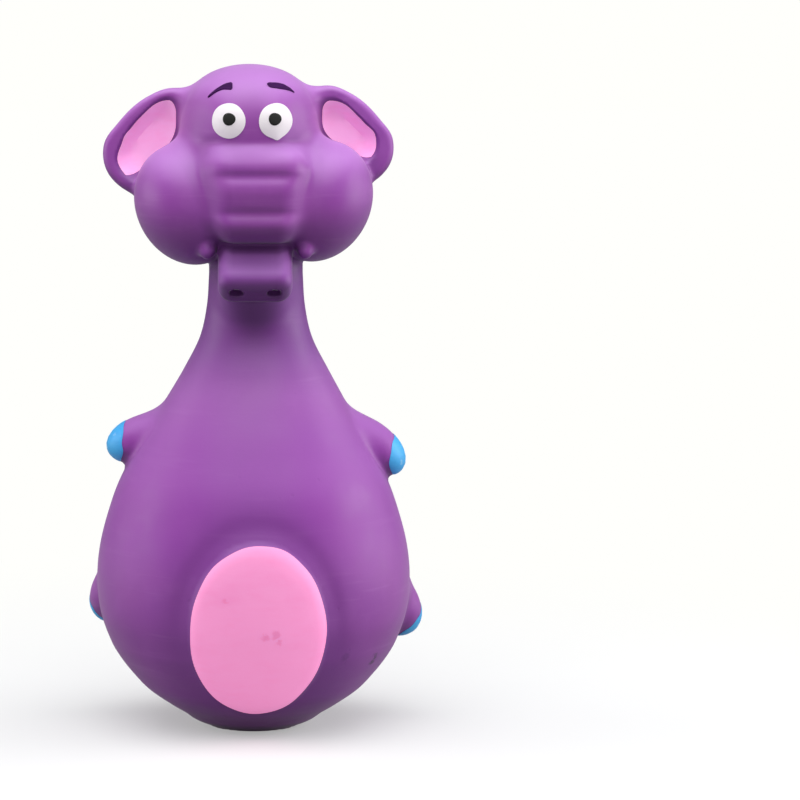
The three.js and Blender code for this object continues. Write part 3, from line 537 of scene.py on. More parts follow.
def settle(form, p, rounds=3, most=0.6):
    for _ in range(rounds):
        slope = slope_of(form, p)
        length = np.maximum(np.einsum("ij,ij->i", slope, slope), 1e-4)
        move = slope * (form(p) / length)[:, None]
        size = np.maximum(np.linalg.norm(move, axis=1, keepdims=True), 1e-12)
        p = p - move * np.minimum(1.0, most / size)
    return p


settled = settle(lambda p: ball(p, np.full(3, 10.0)), np.array(((7.0, 7.0, 1.0),)))
print("a stray point settles %.3f mm from the middle of a 10 mm ball" % np.linalg.norm(settled))

# %% [markdown]
# To find such points, space is filled with a grid, and in each little cell that the surface crosses
# one vertex is placed at the middle of the crossings. Neighbours are tied into four-sided faces. This
# net is even and closed, unlike marching cubes, which leaves slivers.

# %% Net over a form
def sample(form, low, high, step):
    axes = [np.arange(a, b + step, step) for a, b in zip(low, high)]
    grid = np.stack(np.meshgrid(*axes, indexing="ij"), axis=-1)
    flat = grid.reshape(-1, 3)
    value = np.concatenate([form(part) for part in np.array_split(flat, 24)])
    return value.reshape(grid.shape[:3])


def net_over(form, low, high, step):
    low = np.array(low, float)
    value = sample(form, low, high, step)
    inside = value < 0
    cells = np.array(value.shape) - 1
    corners = np.array(list(np.ndindex(2, 2, 2)))

    def at(grid, corner):
        return grid[tuple(slice(first, first + size) for first, size in zip(corner, cells))]

    count = sum(at(inside, c).astype(int) for c in corners)
    crossed = (count > 0) & (count < 8)
    number = np.full(crossed.shape, -1)
    number[crossed] = np.arange(crossed.sum())
    total = np.zeros((crossed.sum(), 3))
    hits = np.zeros(crossed.sum())
    for a in corners:
        for b in corners:
            if (b - a).sum() != 1 or (b < a).any():
                continue
            va, vb = at(value, a)[crossed], at(value, b)[crossed]
            cut = (va < 0) != (vb < 0)
            t = np.where(cut, va / np.where(cut, va - vb, 1.0), 0.0)
            total += np.where(cut[:, None], a + t[:, None] * (b - a), 0.0)
            hits += cut
    points = low + step * (np.argwhere(crossed) + total / hits[:, None])
    return points, net_faces(inside, number)


def net_faces(inside, number):
    faces = []
    for d in range(3):
        u, v = (d + 1) % 3, (d + 2) % 3
        first = inside.take(range(inside.shape[d] - 1), axis=d)
        second = inside.take(range(1, inside.shape[d]), axis=d)
        for starts, turn in ((first & ~second, 1), (second & ~first, -1)):
            at = np.argwhere(starts)
            within = (at > 0) & (at < number.shape)
            at = at[within[:, u] & within[:, v]]
            step_u, step_v = np.eye(3, dtype=int)[u], np.eye(3, dtype=int)[v]
            round_trip = [at, at - step_u, at - step_u - step_v, at - step_v]
            quad = np.stack([number[tuple(c.T)] for c in round_trip], axis=1)
            faces.append(quad[:, ::turn])
    return np.concatenate(faces)


# %% [markdown]
# A raw net still shows the grid in its spacing. Two rounds of moving each vertex toward the middle
# of its neighbours, with a slide back onto the form after each, even it out.

# %% Even the net
def relaxed(form, points, faces, rounds=2, pull=0.6):
    for _ in range(rounds):
        total = np.zeros_like(points)
        count = np.zeros(len(points))
        for k in range(4):
            for other in (faces[:, (k + 1) % 4], faces[:, k - 1]):
                np.add.at(total, faces[:, k], points[other])
                np.add.at(count, faces[:, k], 1)
        moved = points + pull * (total / np.maximum(count, 1)[:, None] - points)
        points = settle(form, moved, rounds=1)
    return settle(form, points, rounds=2)


def skin_net(form, low, high, step):
    points, faces = net_over(form, low, high, step)
    points = relaxed(form, settle(form, points), faces)
    print("net of %d faces at %.2f mm" % (len(faces), step))
    return points, faces


body_net = skin_net(body_form, (-36, -32, -3), (36, 31, 67), 0.8)
head_net = skin_net(whole_head, (-33, -30, 62), (35, 19, 127), 0.5)

# %% [markdown]
# ## Parting the skin
# Some of the toy bends: the neck, the ears and the belly. So the skin is parted into pieces, and each
# cut lies where both sides move alike. A knife here is a measure that is zero along the cut. Every
# edge that it crosses gets a point there, and both sides keep the same points, so no seam can open.

# %% Score a net and part it
def mesh_of(net):
    bm = bmesh.new()
    verts = [bm.verts.new(p) for p in net[0]]
    outer = bm.faces.layers.int.new("outer")
    for face in net[1]:
        bm.faces.new([verts[i] for i in face])[outer] = 1
    return bm


def score(bm, measure):
    bm.verts.ensure_lookup_table()
    bm.verts.index_update()
    value = measure(np.array([v.co for v in bm.verts]))
    value[np.abs(value) < 1e-5] = 1e-5
    crossed = [e for e in bm.edges if value[e.verts[0].index] * value[e.verts[1].index] < 0]
    points = []
    for edge in crossed:
        a, b = edge.verts
        share = value[a.index] / (value[a.index] - value[b.index])
        points.append(bmesh.utils.edge_split(edge, a, float(share))[1])
    bmesh.ops.connect_verts(bm, verts=points)


def part_off(bm, measure):
    score(bm, measure)
    bm.faces.ensure_lookup_table()
    bm.faces.index_update()
    beyond = measure(np.array([f.calc_center_median() for f in bm.faces])) > 0
    other = bm.copy()
    other.faces.ensure_lookup_table()
    bmesh.ops.delete(other, geom=[other.faces[i] for i in np.flatnonzero(~beyond)], context="FACES")
    bmesh.ops.delete(bm, geom=[bm.faces[i] for i in np.flatnonzero(beyond)], context="FACES")
    return other


# %% [markdown]
# A limb is cut off where it stands 0.9 mm proud of the bare body, and an ear along one slanting plane
# that just clears the cheek. Limbs and ears are solid rubber, so their cuts are simply closed.

# %% Part off the limbs and ears
def open_edges(bm, middle, reach):
    found = []
    for edge in bm.edges:
        if edge.is_boundary and all(abs(c) < r for c, r in zip(edge.verts[0].co - Vector(middle), reach)):
            found.append(edge)
    return found


def close_over(bm, middle, reach):
    edges = open_edges(bm, middle, reach)
    bmesh.ops.triangle_fill(bm, use_beauty=True, use_dissolve=False, edges=edges)
    print("closed a cut of %d edges" % len(edges))


limb_stand, limb_reach = 0.9, 13.0
ear_cut = 66.7
near_limb, near_ear, everywhere = (14.0,) * 3, (16.0,) * 3, (99.0,) * 3
torso = mesh_of(body_net)
limb_pieces = {}
for name, limb in limbs.items():
    def beyond_body(p, centre=limb["centre"]):
        return np.minimum(plain_body(p) - limb_stand, limb_reach - np.linalg.norm(p - centre, axis=1))

    limb_pieces[name] = part_off(torso, beyond_body)
    close_over(torso, limb["centre"], near_limb)
    close_over(limb_pieces[name], limb["centre"], everywhere)

head = mesh_of(head_net)
ear_pieces = {}
for name, ear in ears.items():
    def beyond_cheek(p, way=ear["flat_out"]):
        return p @ way - ear_cut

    ear_pieces[name] = part_off(head, beyond_cheek)
    close_over(head, ear["centre"], near_ear)
    close_over(ear_pieces[name], ear["centre"], everywhere)

# %% [markdown]
# ## Walls for the hollow skins
# The body and the head are hollow: a skin about 1.8 mm thick round wadding. A Solidify modifier would
# fold over itself inside the small tusk buds, so the inside gets its own coarse net, cut at the same
# heights, and the two rims are bridged. Body and head part at the seam height, just under the neck's
# bend. The body's flat foot is closed round the squeaker's hole.

# %% Inner walls
wall = 1.8
seam_height = 64.3
foot_hole = 5.1
inner_step, inner_join = 2.0, 2.0


def inner_head(p):
    return join(skull_and_cheeks(p), neck(p), inner_join) + wall


def inner_body(p):
    return plain_body(p) + wall


def add_inner(bm, form, low, high, lower_cut, upper_cut):
    points, faces = net_over(form, low, high, inner_step)
    inner = mesh_of((settle(form, points), faces[:, ::-1]))
    for cut in (lambda p: lower_cut - p[:, 2], lambda p: p[:, 2] - upper_cut):
        part_off(inner, cut).free()
    spare = bpy.data.meshes.new("inner")
    for face in inner.faces:
        face[inner.faces.layers.int["outer"]] = 0
    inner.to_mesh(spare)
    bm.from_mesh(spare)
    bpy.data.meshes.remove(spare)
    inner.free()


def bridge_at(bm, height, reach=0.02):
    edges = open_edges(bm, (0.0, 0.0, height), (99.0, 99.0, reach))
    bmesh.ops.bridge_loops(bm, edges=edges)
    print("bridged %d edges at %.1f mm" % (len(edges), height))


part_off(torso, lambda p: p[:, 2] - seam_height).free()
part_off(torso, lambda p: -p[:, 2]).free()
add_inner(torso, inner_body, (-30, -28, -2), (30, 28, 68), wall, seam_height)
bridge_at(torso, seam_height)
for height in (0.0, wall):
    lifted = Matrix.Translation((0.0, 0.0, height))
    bmesh.ops.create_circle(torso, segments=48, radius=foot_hole, matrix=lifted)
    bridge_at(torso, height)
bmesh.ops.bridge_loops(torso, edges=[e for e in torso.edges if e.is_boundary])

part_off(head, lambda p: seam_height - p[:, 2]).free()
add_inner(head, inner_head, (-24, -20, 60), (24, 16, 125), seam_height, 200.0)
bridge_at(head, seam_height)
print("open edges left:", sum(e.is_boundary for bm in (torso, head) for e in bm.edges))

# %% [markdown]
# ## Finished skins
# A net in millimetres becomes an object in metres, shaded smooth. Every dressed piece goes through
# this one helper, so they all share one scale and one way of welding doubled points.

# %% Turn a net into an object
millimetre = 0.001


def piece_of(name, bm):
    bmesh.ops.remove_doubles(bm, verts=bm.verts[:], dist=1e-5)
    data = bpy.data.meshes.new(name)
    bm.to_mesh(data)
    bm.free()
    data.transform(Matrix.Scale(millimetre, 4))
    data.polygons.foreach_set("use_smooth", [True] * len(data.polygons))
    return new_object(name, data)


print("one unit of a net is %g m" % millimetre)

# %% [markdown]
# Each point of a skin keeps a few facts, from which the latex paints shade on it. Two say how deep it
# lies in a fold or recess: if the form just above a point is nearer than it should be, another swell
# stands close by and would shade it. The others say how near it is to the belly pad and to the hollow
# under the trunk, round which shade is painted too.

# %% Facts at each point
throat_shade = np.array((0.3, -11.5, 80.0))
low_trunk = np.array((0.5, -18.5, 93.5))


def close_to(p, spot, far, near):
    return ease(far, near, np.linalg.norm(p - spot, axis=1))


def facts_of(data, form, p, normal):
    # Painted shade under the trunk: on the face of its tip, in the throat and on the lower trunk.
    tip_end = close_to(p, tip_face, 9.5, 7.5) * ease(-1.8, -0.3, (p - tip_face) @ tip_out)
    facts = {
        # Painted shade round the belly pad.
        "pad_shade_share": ease(1.6, 1.02, pad_share(p)) * ease(-5.0, -14.0, p[:, 1]),
        "throat": np.maximum.reduce([0.8 * close_to(p, throat_shade, 9.0, 1.5),
                                     0.3 * close_to(p, low_trunk, 9.0, 4.0), tip_end]),
    }
    # Painted shade in folds and recesses: how near the form stands just above each point.
    for label, above in (("fold_shade", 1.6), ("shelter_shade", 6.0)):
        facts[label] = np.clip(1.0 - form(p + normal * above) / above, 0.0, 1.0)
    for label, fact in facts.items():
        data.attributes.new(label, "FLOAT", "POINT").data.foreach_set("value", fact.astype(np.float32))


# %% [markdown]
# A smooth-shaded mesh takes its normals from its faces, and they would change at every cut. Here they
# are taken from the form, so light runs over a seam as if it weren't there. The inner walls keep the
# normals of their faces.

# %% Dress the skins
def numbers_of(rows, label, kind=np.int32, width=1):
    numbers = np.zeros(len(rows) * width, kind)
    rows.foreach_get(label, numbers)
    return numbers


def dress_skin(name, bm, form):
    piece = piece_of(name, bm)
    data = piece.data
    p = numbers_of(data.vertices, "co", np.float32, 3).reshape(-1, 3).astype(float) / millimetre
    normal = slope_of(form, p, 0.05)
    normal /= np.maximum(np.linalg.norm(normal, axis=1, keepdims=True), 1e-9)
    facts_of(data, form, p, normal)
    outer = numbers_of(data.attributes["outer"].data, "value")
    on_skin = np.repeat(outer, numbers_of(data.polygons, "loop_total"))[:, None]
    corner = numbers_of(data.loops, "vertex_index")
    data.normals_split_custom_set((normal[corner] * on_skin).tolist())
    data.attributes.remove(data.attributes["outer"])
    print("%s: %d faces" % (name, len(data.polygons)))
    return piece


torso_latex = dress_skin("torso_latex", torso, body_form)
head_latex = dress_skin("head_latex", head, whole_head)
limb_latex = {name: dress_skin(name + "_latex", bm, body_form) for name, bm in limb_pieces.items()}
ear_latex = {name: dress_skin("ear_%s_latex" % name, bm, whole_head) for name, bm in ear_pieces.items()}

# %% [markdown]
# ## Paint
# The pink, blue, white and black are brushed on after casting, a film a tenth of a millimetre thick.
# Colour by a mask on the skin would be simpler, but its edge would be as coarse as the net, so each
# patch of paint is a film of its own. Its points are cast onto the form along rays: each ray is
# walked in even steps until it crosses the surface, and the crossing is then found by halving.

# %% Cast points onto a form
def cast(form, start, way, length, steps=120, halvings=18):
    shape = start.shape[:-1]
    start, way = start.reshape(-1, 3), np.broadcast_to(way, start.shape).reshape(-1, 3)
    near = np.zeros(len(start))
    far = np.full(len(start), float(length))
    first = form(start) < 0.0
    found = np.zeros(len(start), bool)
    for t in np.linspace(0.0, length, steps + 1)[1:]:
        turned = ((form(start + t * way) < 0.0) != first) & ~found
        far[turned] = t
        found |= turned
        near[~found] = t
    for _ in range(halvings):
        middle = (near + far) / 2
        same = (form(start + middle[:, None] * way) < 0.0) == first
        near, far = np.where(same, middle, near), np.where(same, far, middle)
    return (start + far[:, None] * way).reshape(shape + (3,))


chest = cast(body_form, np.array(((0.0, -40.0, 50.0),)), (0.0, 1.0, 0.0), 40.0)
print("the chest lies at y = %.2f mm" % chest[0, 1])

# %% [markdown]
# Rings of points run from the middle of a patch to its painted edge. The lower sheet hovers just over
# the skin and the upper one a film's thickness higher, and the edge comes down round.

# %% Brush on a film
film_gap, film_thick, film_edge = 0.03, 0.10, 0.09
film_shares = np.array((0.0, 0.2, 0.4, 0.6, 0.75, 0.87, 0.94, 0.98, 0.995, 1.0))


def edge_lift(thick=film_thick):
    return (film_gap + thick * np.sqrt(np.maximum(1.0 - film_shares ** 10, film_edge)))[:, None]


def brush_on(name, form, base, low=film_gap, high=edge_lift()):
    rings, turns = base.shape[:2]
    flat = base.reshape(-1, 3)
    normal = slope_of(form, flat, 0.08)
    normal /= np.linalg.norm(normal, axis=1, keepdims=True)
    sheets = [flat + normal * np.broadcast_to(lift, (rings, turns)).reshape(-1, 1) for lift in (high, low)]
    bm = bmesh.new()
    verts = [bm.verts.new(p) for p in np.concatenate(sheets)]
    under, last = rings * turns, (rings - 1) * turns
    for i in range(turns):
        j = (i + 1) % turns
        for r in range(0, last, turns):
            ring = [r + i, r + turns + i, r + turns + j, r + j]
            bm.faces.new([verts[k] for k in ring])
            bm.faces.new([verts[under + k] for k in reversed(ring)])
        bm.faces.new([verts[k] for k in (last + i, under + last + i, under + last + j, last + j)])
    bmesh.ops.remove_doubles(bm, verts=bm.verts[:], dist=1e-4)
    bmesh.ops.recalc_face_normals(bm, faces=bm.faces[:])
    piece = piece_of(name, bm)
    piece.data.set_sharp_from_angle(angle=math.radians(50.0))
    return piece


print("rings in a film:", len(film_shares))

# %% [markdown]
# Most of the paint is laid from the front. The ring of its edge is drawn flat, in x and z, and the
# points from its middle to that edge are cast straight back onto the form. A hand's unevenness is a
# few slow waves in the radius.

# %% Lay paint from the front
def turns_of(count):
    return 2 * math.pi * np.arange(count) / count


def wavy(angle, *waves):
    return sum(size * np.sin(count * angle + shift) for size, count, shift in waves)


def laid_flat(form, middle, edge, before=-40.0):
    flat = middle + film_shares[:, None, None] * (edge - middle)
    starts = np.insert(flat, 1, before, axis=-1)
    return cast(form, starts, (0.0, 1.0, 0.0), -before)


# %% [markdown]
# The pink oval lies on the belly pad. Its edge is a slightly egg-shaped line.

# %% Pink oval on the belly
turn = turns_of(120)
oval_half, oval_middle = (12.45, 16.6), (0.8, 22.4)
oval_radius = 1.0 - 0.03 * np.sin(turn) + wavy(turn, (0.006, 3, 0.5), (0.005, 5, 2.0), (0.003, 11, 1.0))
oval = np.stack([np.cos(turn), np.sin(turn)], axis=-1) * oval_radius[:, None] * oval_half + oval_middle
oval[:, 0] += 0.4 * np.sin(turn)
belly_pink = brush_on("belly_pink", body_form, laid_flat(body_form, pad_centre, oval, -45.0))
print("pink oval: %.1f mm wide" % np.ptp(oval[:, 0]))

# %% [markdown]
# The blue tips are caps over the ends of the limbs. Their rays leave the middle of each limb and fan
# out from its tip until they pass the painted edge, which wanders as a dipping line does. On the arms
# that line slants. Where a limb runs into the body the edge is drawn in, so no paint lies on the body.

# %% Blue tips on the limbs
def smooth_edge(shares, allowed):
    kept = np.where(np.logical_and.accumulate(allowed, axis=0), shares[:, None], shares[0]).max(axis=0)
    kept = np.minimum.reduce([np.roll(kept, k) for k in range(-2, 3)])
    return sum(np.roll(kept, k) for k in range(-2, 3)) / 5


tip_share = {"arm_right": 0.58, "arm_left": 0.62, "leg_right": 0.74, "leg_left": 0.68}
paint_slant = {"arm_right": 0.2, "arm_left": 0.3, "leg_right": 0.0, "leg_left": 0.0}
body_level = 0.7
turn = turns_of(48)
blue_tips = {}
for number, (name, limb) in enumerate(limbs.items()):
    wander = 0.03 + wavy(turn, (0.035, 1, number), (0.02, 3, 2.0 * number), (0.012, 7, number))
    wander = wander - paint_slant[name] * np.sin(turn)
    widest = np.arccos(np.clip(tip_share[name] + wander, 0.0, 1.0))

    def on_limb(shares, widest, limb=limb):
        lean = shares[:, None] * widest
        local = np.stack([np.cos(lean) * limb["side"], np.sin(lean) * np.cos(turn),
                          np.sin(lean) * np.sin(turn)], axis=-1) * limb["half"]
        way = local @ limb["turn"].T
        way /= np.linalg.norm(way, axis=-1, keepdims=True)
        return cast(body_form, np.broadcast_to(limb["centre"], way.shape), way, 12.0)

    trial = np.linspace(0.3, 1.0, 29)
    clear = plain_body(on_limb(trial, widest).reshape(-1, 3)).reshape(29, -1) > body_level
    base = on_limb(film_shares, widest * smooth_edge(trial, clear))
    blue_tips[name] = brush_on(name + "_blue", body_form, base)
print("blue tips:", ", ".join(blue_tips))

# %% [markdown]
# The ear linings fill the bowls. A ray looks into the bowl from just in front of the ear. Where the
# bowl runs into the head or the cheek, the painter's brush stopped at the fold, so the edge is pulled
# in until it lies on the ear.

# %% Pink ear linings
turn = turns_of(96)
ring = np.stack([np.cos(turn), np.sin(turn), np.zeros_like(turn)], axis=-1)
lining_level = 0.5
before_ear = np.array((0.0, 0.0, 3.0))
linings = {}
for name, ear in ears.items():
    waves = 1.0 + wavy(turn, (0.012, 5, 1.0), (0.008, 9, 2.0))
    reach = ear["half"] * round_curve(ear["bowl"], turn) * waves

    def in_bowl(radius, ear=ear):
        looks = ear["centre"] + (radius[..., None] * ring + before_ear) @ ear["frame"].T
        return looks, cast(whole_head, looks, -ear["frame"][:, 2], 8.0)

    trial = np.linspace(0.05, 1.0, 60)
    looks, seen = (p.reshape(-1, 3) for p in in_bowl(trial[:, None] * reach))
    on_ear = (head_form(seen) > lining_level) & (whole_head(looks) > 0.0)
    base = in_bowl(film_shares[:, None] * (reach * smooth_edge(trial, on_ear.reshape(60, -1))))[1]
    linings[name] = brush_on("ear_lining_%s_pink" % name, whole_head, base)
print("linings:", ", ".join(linings))

# %% [markdown]
# The eye whites are thick drops of paint that stand up in the middle. The toy's left one ran a little
# at its lower edge before it dried. A pupil is a small black disc that lies on that drop.

# %% Eyes
turn = turns_of(64)
ring = np.stack([np.cos(turn), np.sin(turn)], axis=-1)
drop_height, pupil_half = 0.6, 1.05
eye_runs = {"right": 0.0, "left": 0.11}
pupil_places = np.array(((-4.25, 115.25), (3.65, 115.25)))
eye_whites, pupils = {}, {}


def drop_over(away):
    return film_gap + film_thick + drop_height * (1.0 - away ** 2.4)


for (name, run), eye, pupil in zip(eye_runs.items(), eye_places, pupil_places):
    run = run * np.exp(-np.square((turn - 1.53 * math.pi) / 0.2))
    radius = 1.0 + run + wavy(turn, (0.012, 2, 1.0), (0.008, 5, 2.0))
    base = laid_flat(head_form, eye, eye + eye_half * radius[:, None] * ring)
    drop = drop_over(film_shares[:, None])
    eye_whites[name] = brush_on("eye_white_%s_paint" % name, head_form, base, high=drop)

    radius = 1.0 + wavy(turn, (0.03, 3, 1.0))
    base = laid_flat(head_form, pupil, pupil + pupil_half * radius[:, None] * ring)
    under = drop_over(np.linalg.norm((base[..., ::2] - eye) / eye_half, axis=-1))
    pupils[name] = brush_on("pupil_%s_paint" % name, head_form, base, under + 0.01, under + edge_lift(0.12))
print("eyes:", ", ".join(eye_whites))

# %% [markdown]
# Each eyebrow is one stroke of a small brush: it lands thick near the middle and thins as it lifts.
# Its film runs out from a middle line instead of a middle point. Each row of a stroke is how far along
# it lies, how high, and how wide the brush is there.

# %% Eyebrows
brow_length, brow_half = 5.0, 0.62
brow_strokes = {
    "right": (-1, 6.2, 120.6, ((-0.42, -0.28, 0.24), (-0.14, -0.05, 0.52), (0.13, 0.09, 0.7),
                               (0.3, 0.12, 0.9), (0.47, 0.13, 1.1))),
    "left": (1, 5.0, 120.9, ((-0.49, -0.19, 0.14), (-0.34, -0.07, 0.45), (-0.1, 0.03, 0.72),
                             (0.15, 0.08, 0.75), (0.4, 0.1, 0.75), (0.5, 0.14, 0.4))),
}
brows = {}
for name, (side, out, height, stroke) in brow_strokes.items():
    along, high, wide = np.array(stroke).T
    t = np.linspace(along[0], along[-1], 25)
    rise, width = np.interp(t, along, high), np.interp(t, along, wide)
    for _ in range(3):
        rise[1:-1] = (rise[:-2] + 2 * rise[1:-1] + rise[2:]) / 4
    width *= np.sqrt(np.clip((t - t[0] + 0.02) / 0.06, 0, 1) * np.clip((t[-1] - t + 0.03) / 0.08, 0, 1))
    spine = np.stack([side * (out - t * brow_length), height + rise * brow_length], axis=-1)
    half = np.stack([np.zeros(25), brow_half * width + 0.04 * np.sin(7 * t + side)], axis=-1)
    edge = np.concatenate([spine + half, (spine - half)[::-1]])
    base = laid_flat(head_form, np.concatenate([spine, spine[::-1]]), edge)
    brows[name] = brush_on("eyebrow_%s_paint" % name, head_form, base, high=edge_lift(0.14))
print("eyebrows:", ", ".join(brows))

# %% [markdown]
# ## Wadding
# Under the skin the toy is stuffed with polyester wadding, which gives it its slow spring. It shows
# only if the skin is cut, but it is there, so it is made as what it is: soft lumps that fill the
# hollow. A cloth simulation would puff it against the walls. The inner form with slow waves taken
# off it gives the same lumps in less time, and it can't grow through the skin.

# %% Wadding
big_lumps, small_lumps = (2.1, 0.5), (0.9, 0.18)
wall_gap, rounding, wadding_step = 0.7, 3.0, 1.3


def lumps(p, size, height):
    x, y, z = (p / size).T
    waves = np.sin(x + 1.3 * np.sin(y + 0.7)) * np.sin(y + 1.1 * np.sin(z))
    return height * (0.5 + 0.5 * waves * np.sin(z + 0.9 * np.sin(x + 2.0)))


def wadding_piece(name, form, filling):
    low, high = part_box(filling)
    floor_z, top_z = low.z / millimetre, high.z / millimetre

    def pillow(p):
        ends = np.maximum(floor_z - p[:, 2], p[:, 2] - top_z)
        body = form(p) + wall_gap + lumps(p, *big_lumps) + lumps(p, *small_lumps)
        return -join(-body, -ends, rounding)

    x, y = (max(-a, b) / millimetre + 2.0 for a, b in zip(low.xy, high.xy))
    points, faces = net_over(pillow, (-x, -y, floor_z - 2.0), (x, y, top_z + 2.0), wadding_step)
    piece = piece_of(name, mesh_of((settle(pillow, points), faces)))
    piece.data.attributes.remove(piece.data.attributes["outer"])
    print("%s: %.1f to %.1f mm" % (name, floor_z, top_z))
    return piece


body_wadding = wadding_piece("body_wadding", inner_body, "body_filling")
neck_wadding = wadding_piece("neck_wadding", inner_body, "neck_filling")
head_wadding = wadding_piece("head_wadding", inner_head, "head_filling")

# %% [markdown]
# ## Riding on the frame
# A piece that stays stiff rides on one body: it is parented to that body's empty. The skins that cross
# a joint, the body skin at the belly, the head skin at the neck and each ear at its root, are not
# blended here: they, and the paint and wadding that go with them, only have their placement baked
# into their meshes.

# %% Ride and bake
def over_belly(piece):
    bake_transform(piece)


def over_neck(piece):
    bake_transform(piece)


def over_ear(piece):
    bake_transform(piece)


for piece in (torso_latex, belly_pink, body_wadding):
    over_belly(piece)
for piece in (head_latex, neck_wadding):
    over_neck(piece)
for name in ears:
    over_ear(ear_latex[name])
    over_ear(linings[name])
for group in (limb_latex, blue_tips):
    for piece in group.values():
        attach(piece, "torso")
for group in (eye_whites, pupils, brows):
    for piece in group.values():
        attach(piece, "head")
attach(head_wadding, "head")
print("skins that bend:", ", ".join(piece.name for piece in (torso_latex, head_latex, *ear_latex.values())))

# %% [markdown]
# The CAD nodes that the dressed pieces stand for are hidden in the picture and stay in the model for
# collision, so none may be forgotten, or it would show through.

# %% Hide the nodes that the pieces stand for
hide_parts("body_skin", "belly_wall")
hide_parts("neck_skin", "head_skin", "trunk_tip")
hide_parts("belly_patch")
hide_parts("body_filling")
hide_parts("neck_filling")
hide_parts("head_filling")
for name in limbs:
    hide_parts(name)
    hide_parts(name + "_paint")
for name in ears:
    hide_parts("ear_" + name)
    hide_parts("ear_lining_" + name)
    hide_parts("eye_white_" + name)
    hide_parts("pupil_" + name)
    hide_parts("eyebrow_" + name)
print("limbs, ears and eyes stand for their nodes:", len(limbs), len(ears), len(eye_whites))

# %% [markdown]
# ## Finishes
# Latex and brushed paint are both satin, with a colour that is never quite even. Each effect that
# more than one finish uses is a node group with named inputs, built once: clouds of tone, fine pores,
# brush marks and smudges. A picture could be laid on instead, but a procedure has no seams and no
# blur. Every group takes a place and gives plain numbers.

# %% Node group helper
def start_group(name, gives, **takes):
    global tree
    tree = bpy.data.node_groups.new(name, "ShaderNodeTree")
    for label, value in {"Place": (0.0, 0.0, 0.0), **takes}.items():
        kind = "NodeSocketVector" if isinstance(value, tuple) else "NodeSocketFloat"
        tree.interface.new_socket(label, in_out="INPUT", socket_type=kind).default_value = value
    for label in gives:
        tree.interface.new_socket(label, in_out="OUTPUT", socket_type="NodeSocketFloat")
    return tree, node("NodeGroupInput").outputs, node("NodeGroupOutput")


def maths(operation, a, b):
    return feed(node("ShaderNodeMath", operation=operation), a, b).outputs["Value"]


def times(a, b):
    return maths("MULTIPLY", a, b)


def noise(place, scale, detail=2.0, roughness=0.5, seed=0.0):
    made = node("ShaderNodeTexNoise", noise_dimensions="4D")
    return feed(made, Vector=place, Scale=scale, Detail=detail, Roughness=roughness, W=seed).outputs["Fac"]


# %% [markdown]
# **Clouds** give the slow change of tone that a dipped skin has where it dried thicker. **Pores** are
# the fine grain and pinholes of the mould. **Brush** is a stretched noise for paint. A **smudge** is
# one ragged spot at a given place.

# %% Effect groups
clouds, given, gives = start_group("tone_clouds", ["Tone"], Scale=60.0, Seed=0.0)
feed(gives, Tone=ramp(noise(given["Place"], given["Scale"], 3.0, 0.55, given["Seed"]), 0.3, 0.7))

pores, given, gives = start_group("mould_pores", ["Height", "Pit"], Grain=2600.0, Pits=420.0)
grain = noise(given["Place"], given["Grain"])
cells = feed(node("ShaderNodeTexVoronoi"), Vector=given["Place"], Scale=given["Pits"])
rare = noise(given["Place"], 90.0, 1.0, 0.5, 3.0)
pit = times(ramp(cells.outputs["Distance"], 0.08, 0.2, 1.0, 0.0), ramp(rare, 0.66, 0.74))
feed(gives, Height=maths("SUBTRACT", times(grain, 0.35), pit), Pit=pit)

brush, given, gives = start_group("brush_marks", ["Mark"], Stretch=(1.0, 1.0, 6.0), Scale=300.0)
drawn = feed(node("ShaderNodeVectorMath", operation="MULTIPLY"), given["Place"], given["Stretch"])
feed(gives, Mark=noise(drawn.outputs["Vector"], given["Scale"], 3.0, 0.6, 5.0))

smudge, given, gives = start_group("smudge", ["Mask"], Centre=(0.0, 0.0, 0.0), Reach=0.001)
apart = feed(node("ShaderNodeVectorMath", operation="DISTANCE"), given["Place"], given["Centre"])
reach = times(given["Reach"], ramp(noise(given["Place"], 1100.0, 2.0, 0.6, 8.0), 0.2, 0.8, 0.4, 1.6))
feed(gives, Mask=ramp(maths("DIVIDE", apart.outputs["Value"], reach), 0.35, 1.0, 1.0, 0.0))
print("groups:", [g.name for g in bpy.data.node_groups])

# %% [markdown]
# A colour is written as the 0 to 255 numbers that a paint chart gives, and turned into the linear
# light that the shader adds up. A finish starts from one satin shader, with its colour, roughness and
# height fed by the groups. Colours are mixed by a node that keeps its share in socket 0 and its two
# colours in sockets 6 and 7.

# %% Colours and the satin shader
def colour(*parts):
    linear = [part / 255.0 for part in parts]
    linear = [part / 12.92 if part <= 0.04045 else ((part + 0.055) / 1.055) ** 2.4 for part in linear]
    return (*linear, 1.0)


def mix(amount, a, b):
    made = node("ShaderNodeMix", data_type="RGBA")
    for source, socket in ((amount, 0), (a, 6), (b, 7)):
        plug(source, made.inputs[socket])
    return made.outputs[2]


def use_group(group, place, **sources):
    return feed(node("ShaderNodeGroup", node_tree=group), Place=place, **sources).outputs


def start_finish(name, roughness, specular=0.5):
    global tree
    material = bpy.data.materials.new(name)
    material.use_nodes = True
    tree = material.node_tree
    shader = feed(tree.nodes["Principled BSDF"], Roughness=roughness, Specular_IOR_Level=specular)
    return material, shader, node("ShaderNodeTexCoord").outputs["Object"]


print("mid grey in linear light: %.3f" % colour(128)[0])

# %% [markdown]
# A coat is built up in layers, each a mask and a tint. A band is a mask that comes and goes with the
# height. Smudges are laid over the coat one by one, and relief goes in as a bump, because it is far finer
# than the mesh. Some coats also glow a little: painted light that makes them brighter than the lamps would.

# %% Layers of a coat
def height_in(vector):
    return feed(node("ShaderNodeSeparateXYZ"), vector).outputs["Z"]


def band(value, start, full, fade, end, most):
    return times(times(ramp(value, start, full), ramp(value, end, fade)), most)


def bump(shader, height, distance, strength):
    made = feed(node("ShaderNodeBump"), Height=height, Distance=distance, Strength=strength)
    feed(shader, Normal=made.outputs["Normal"])


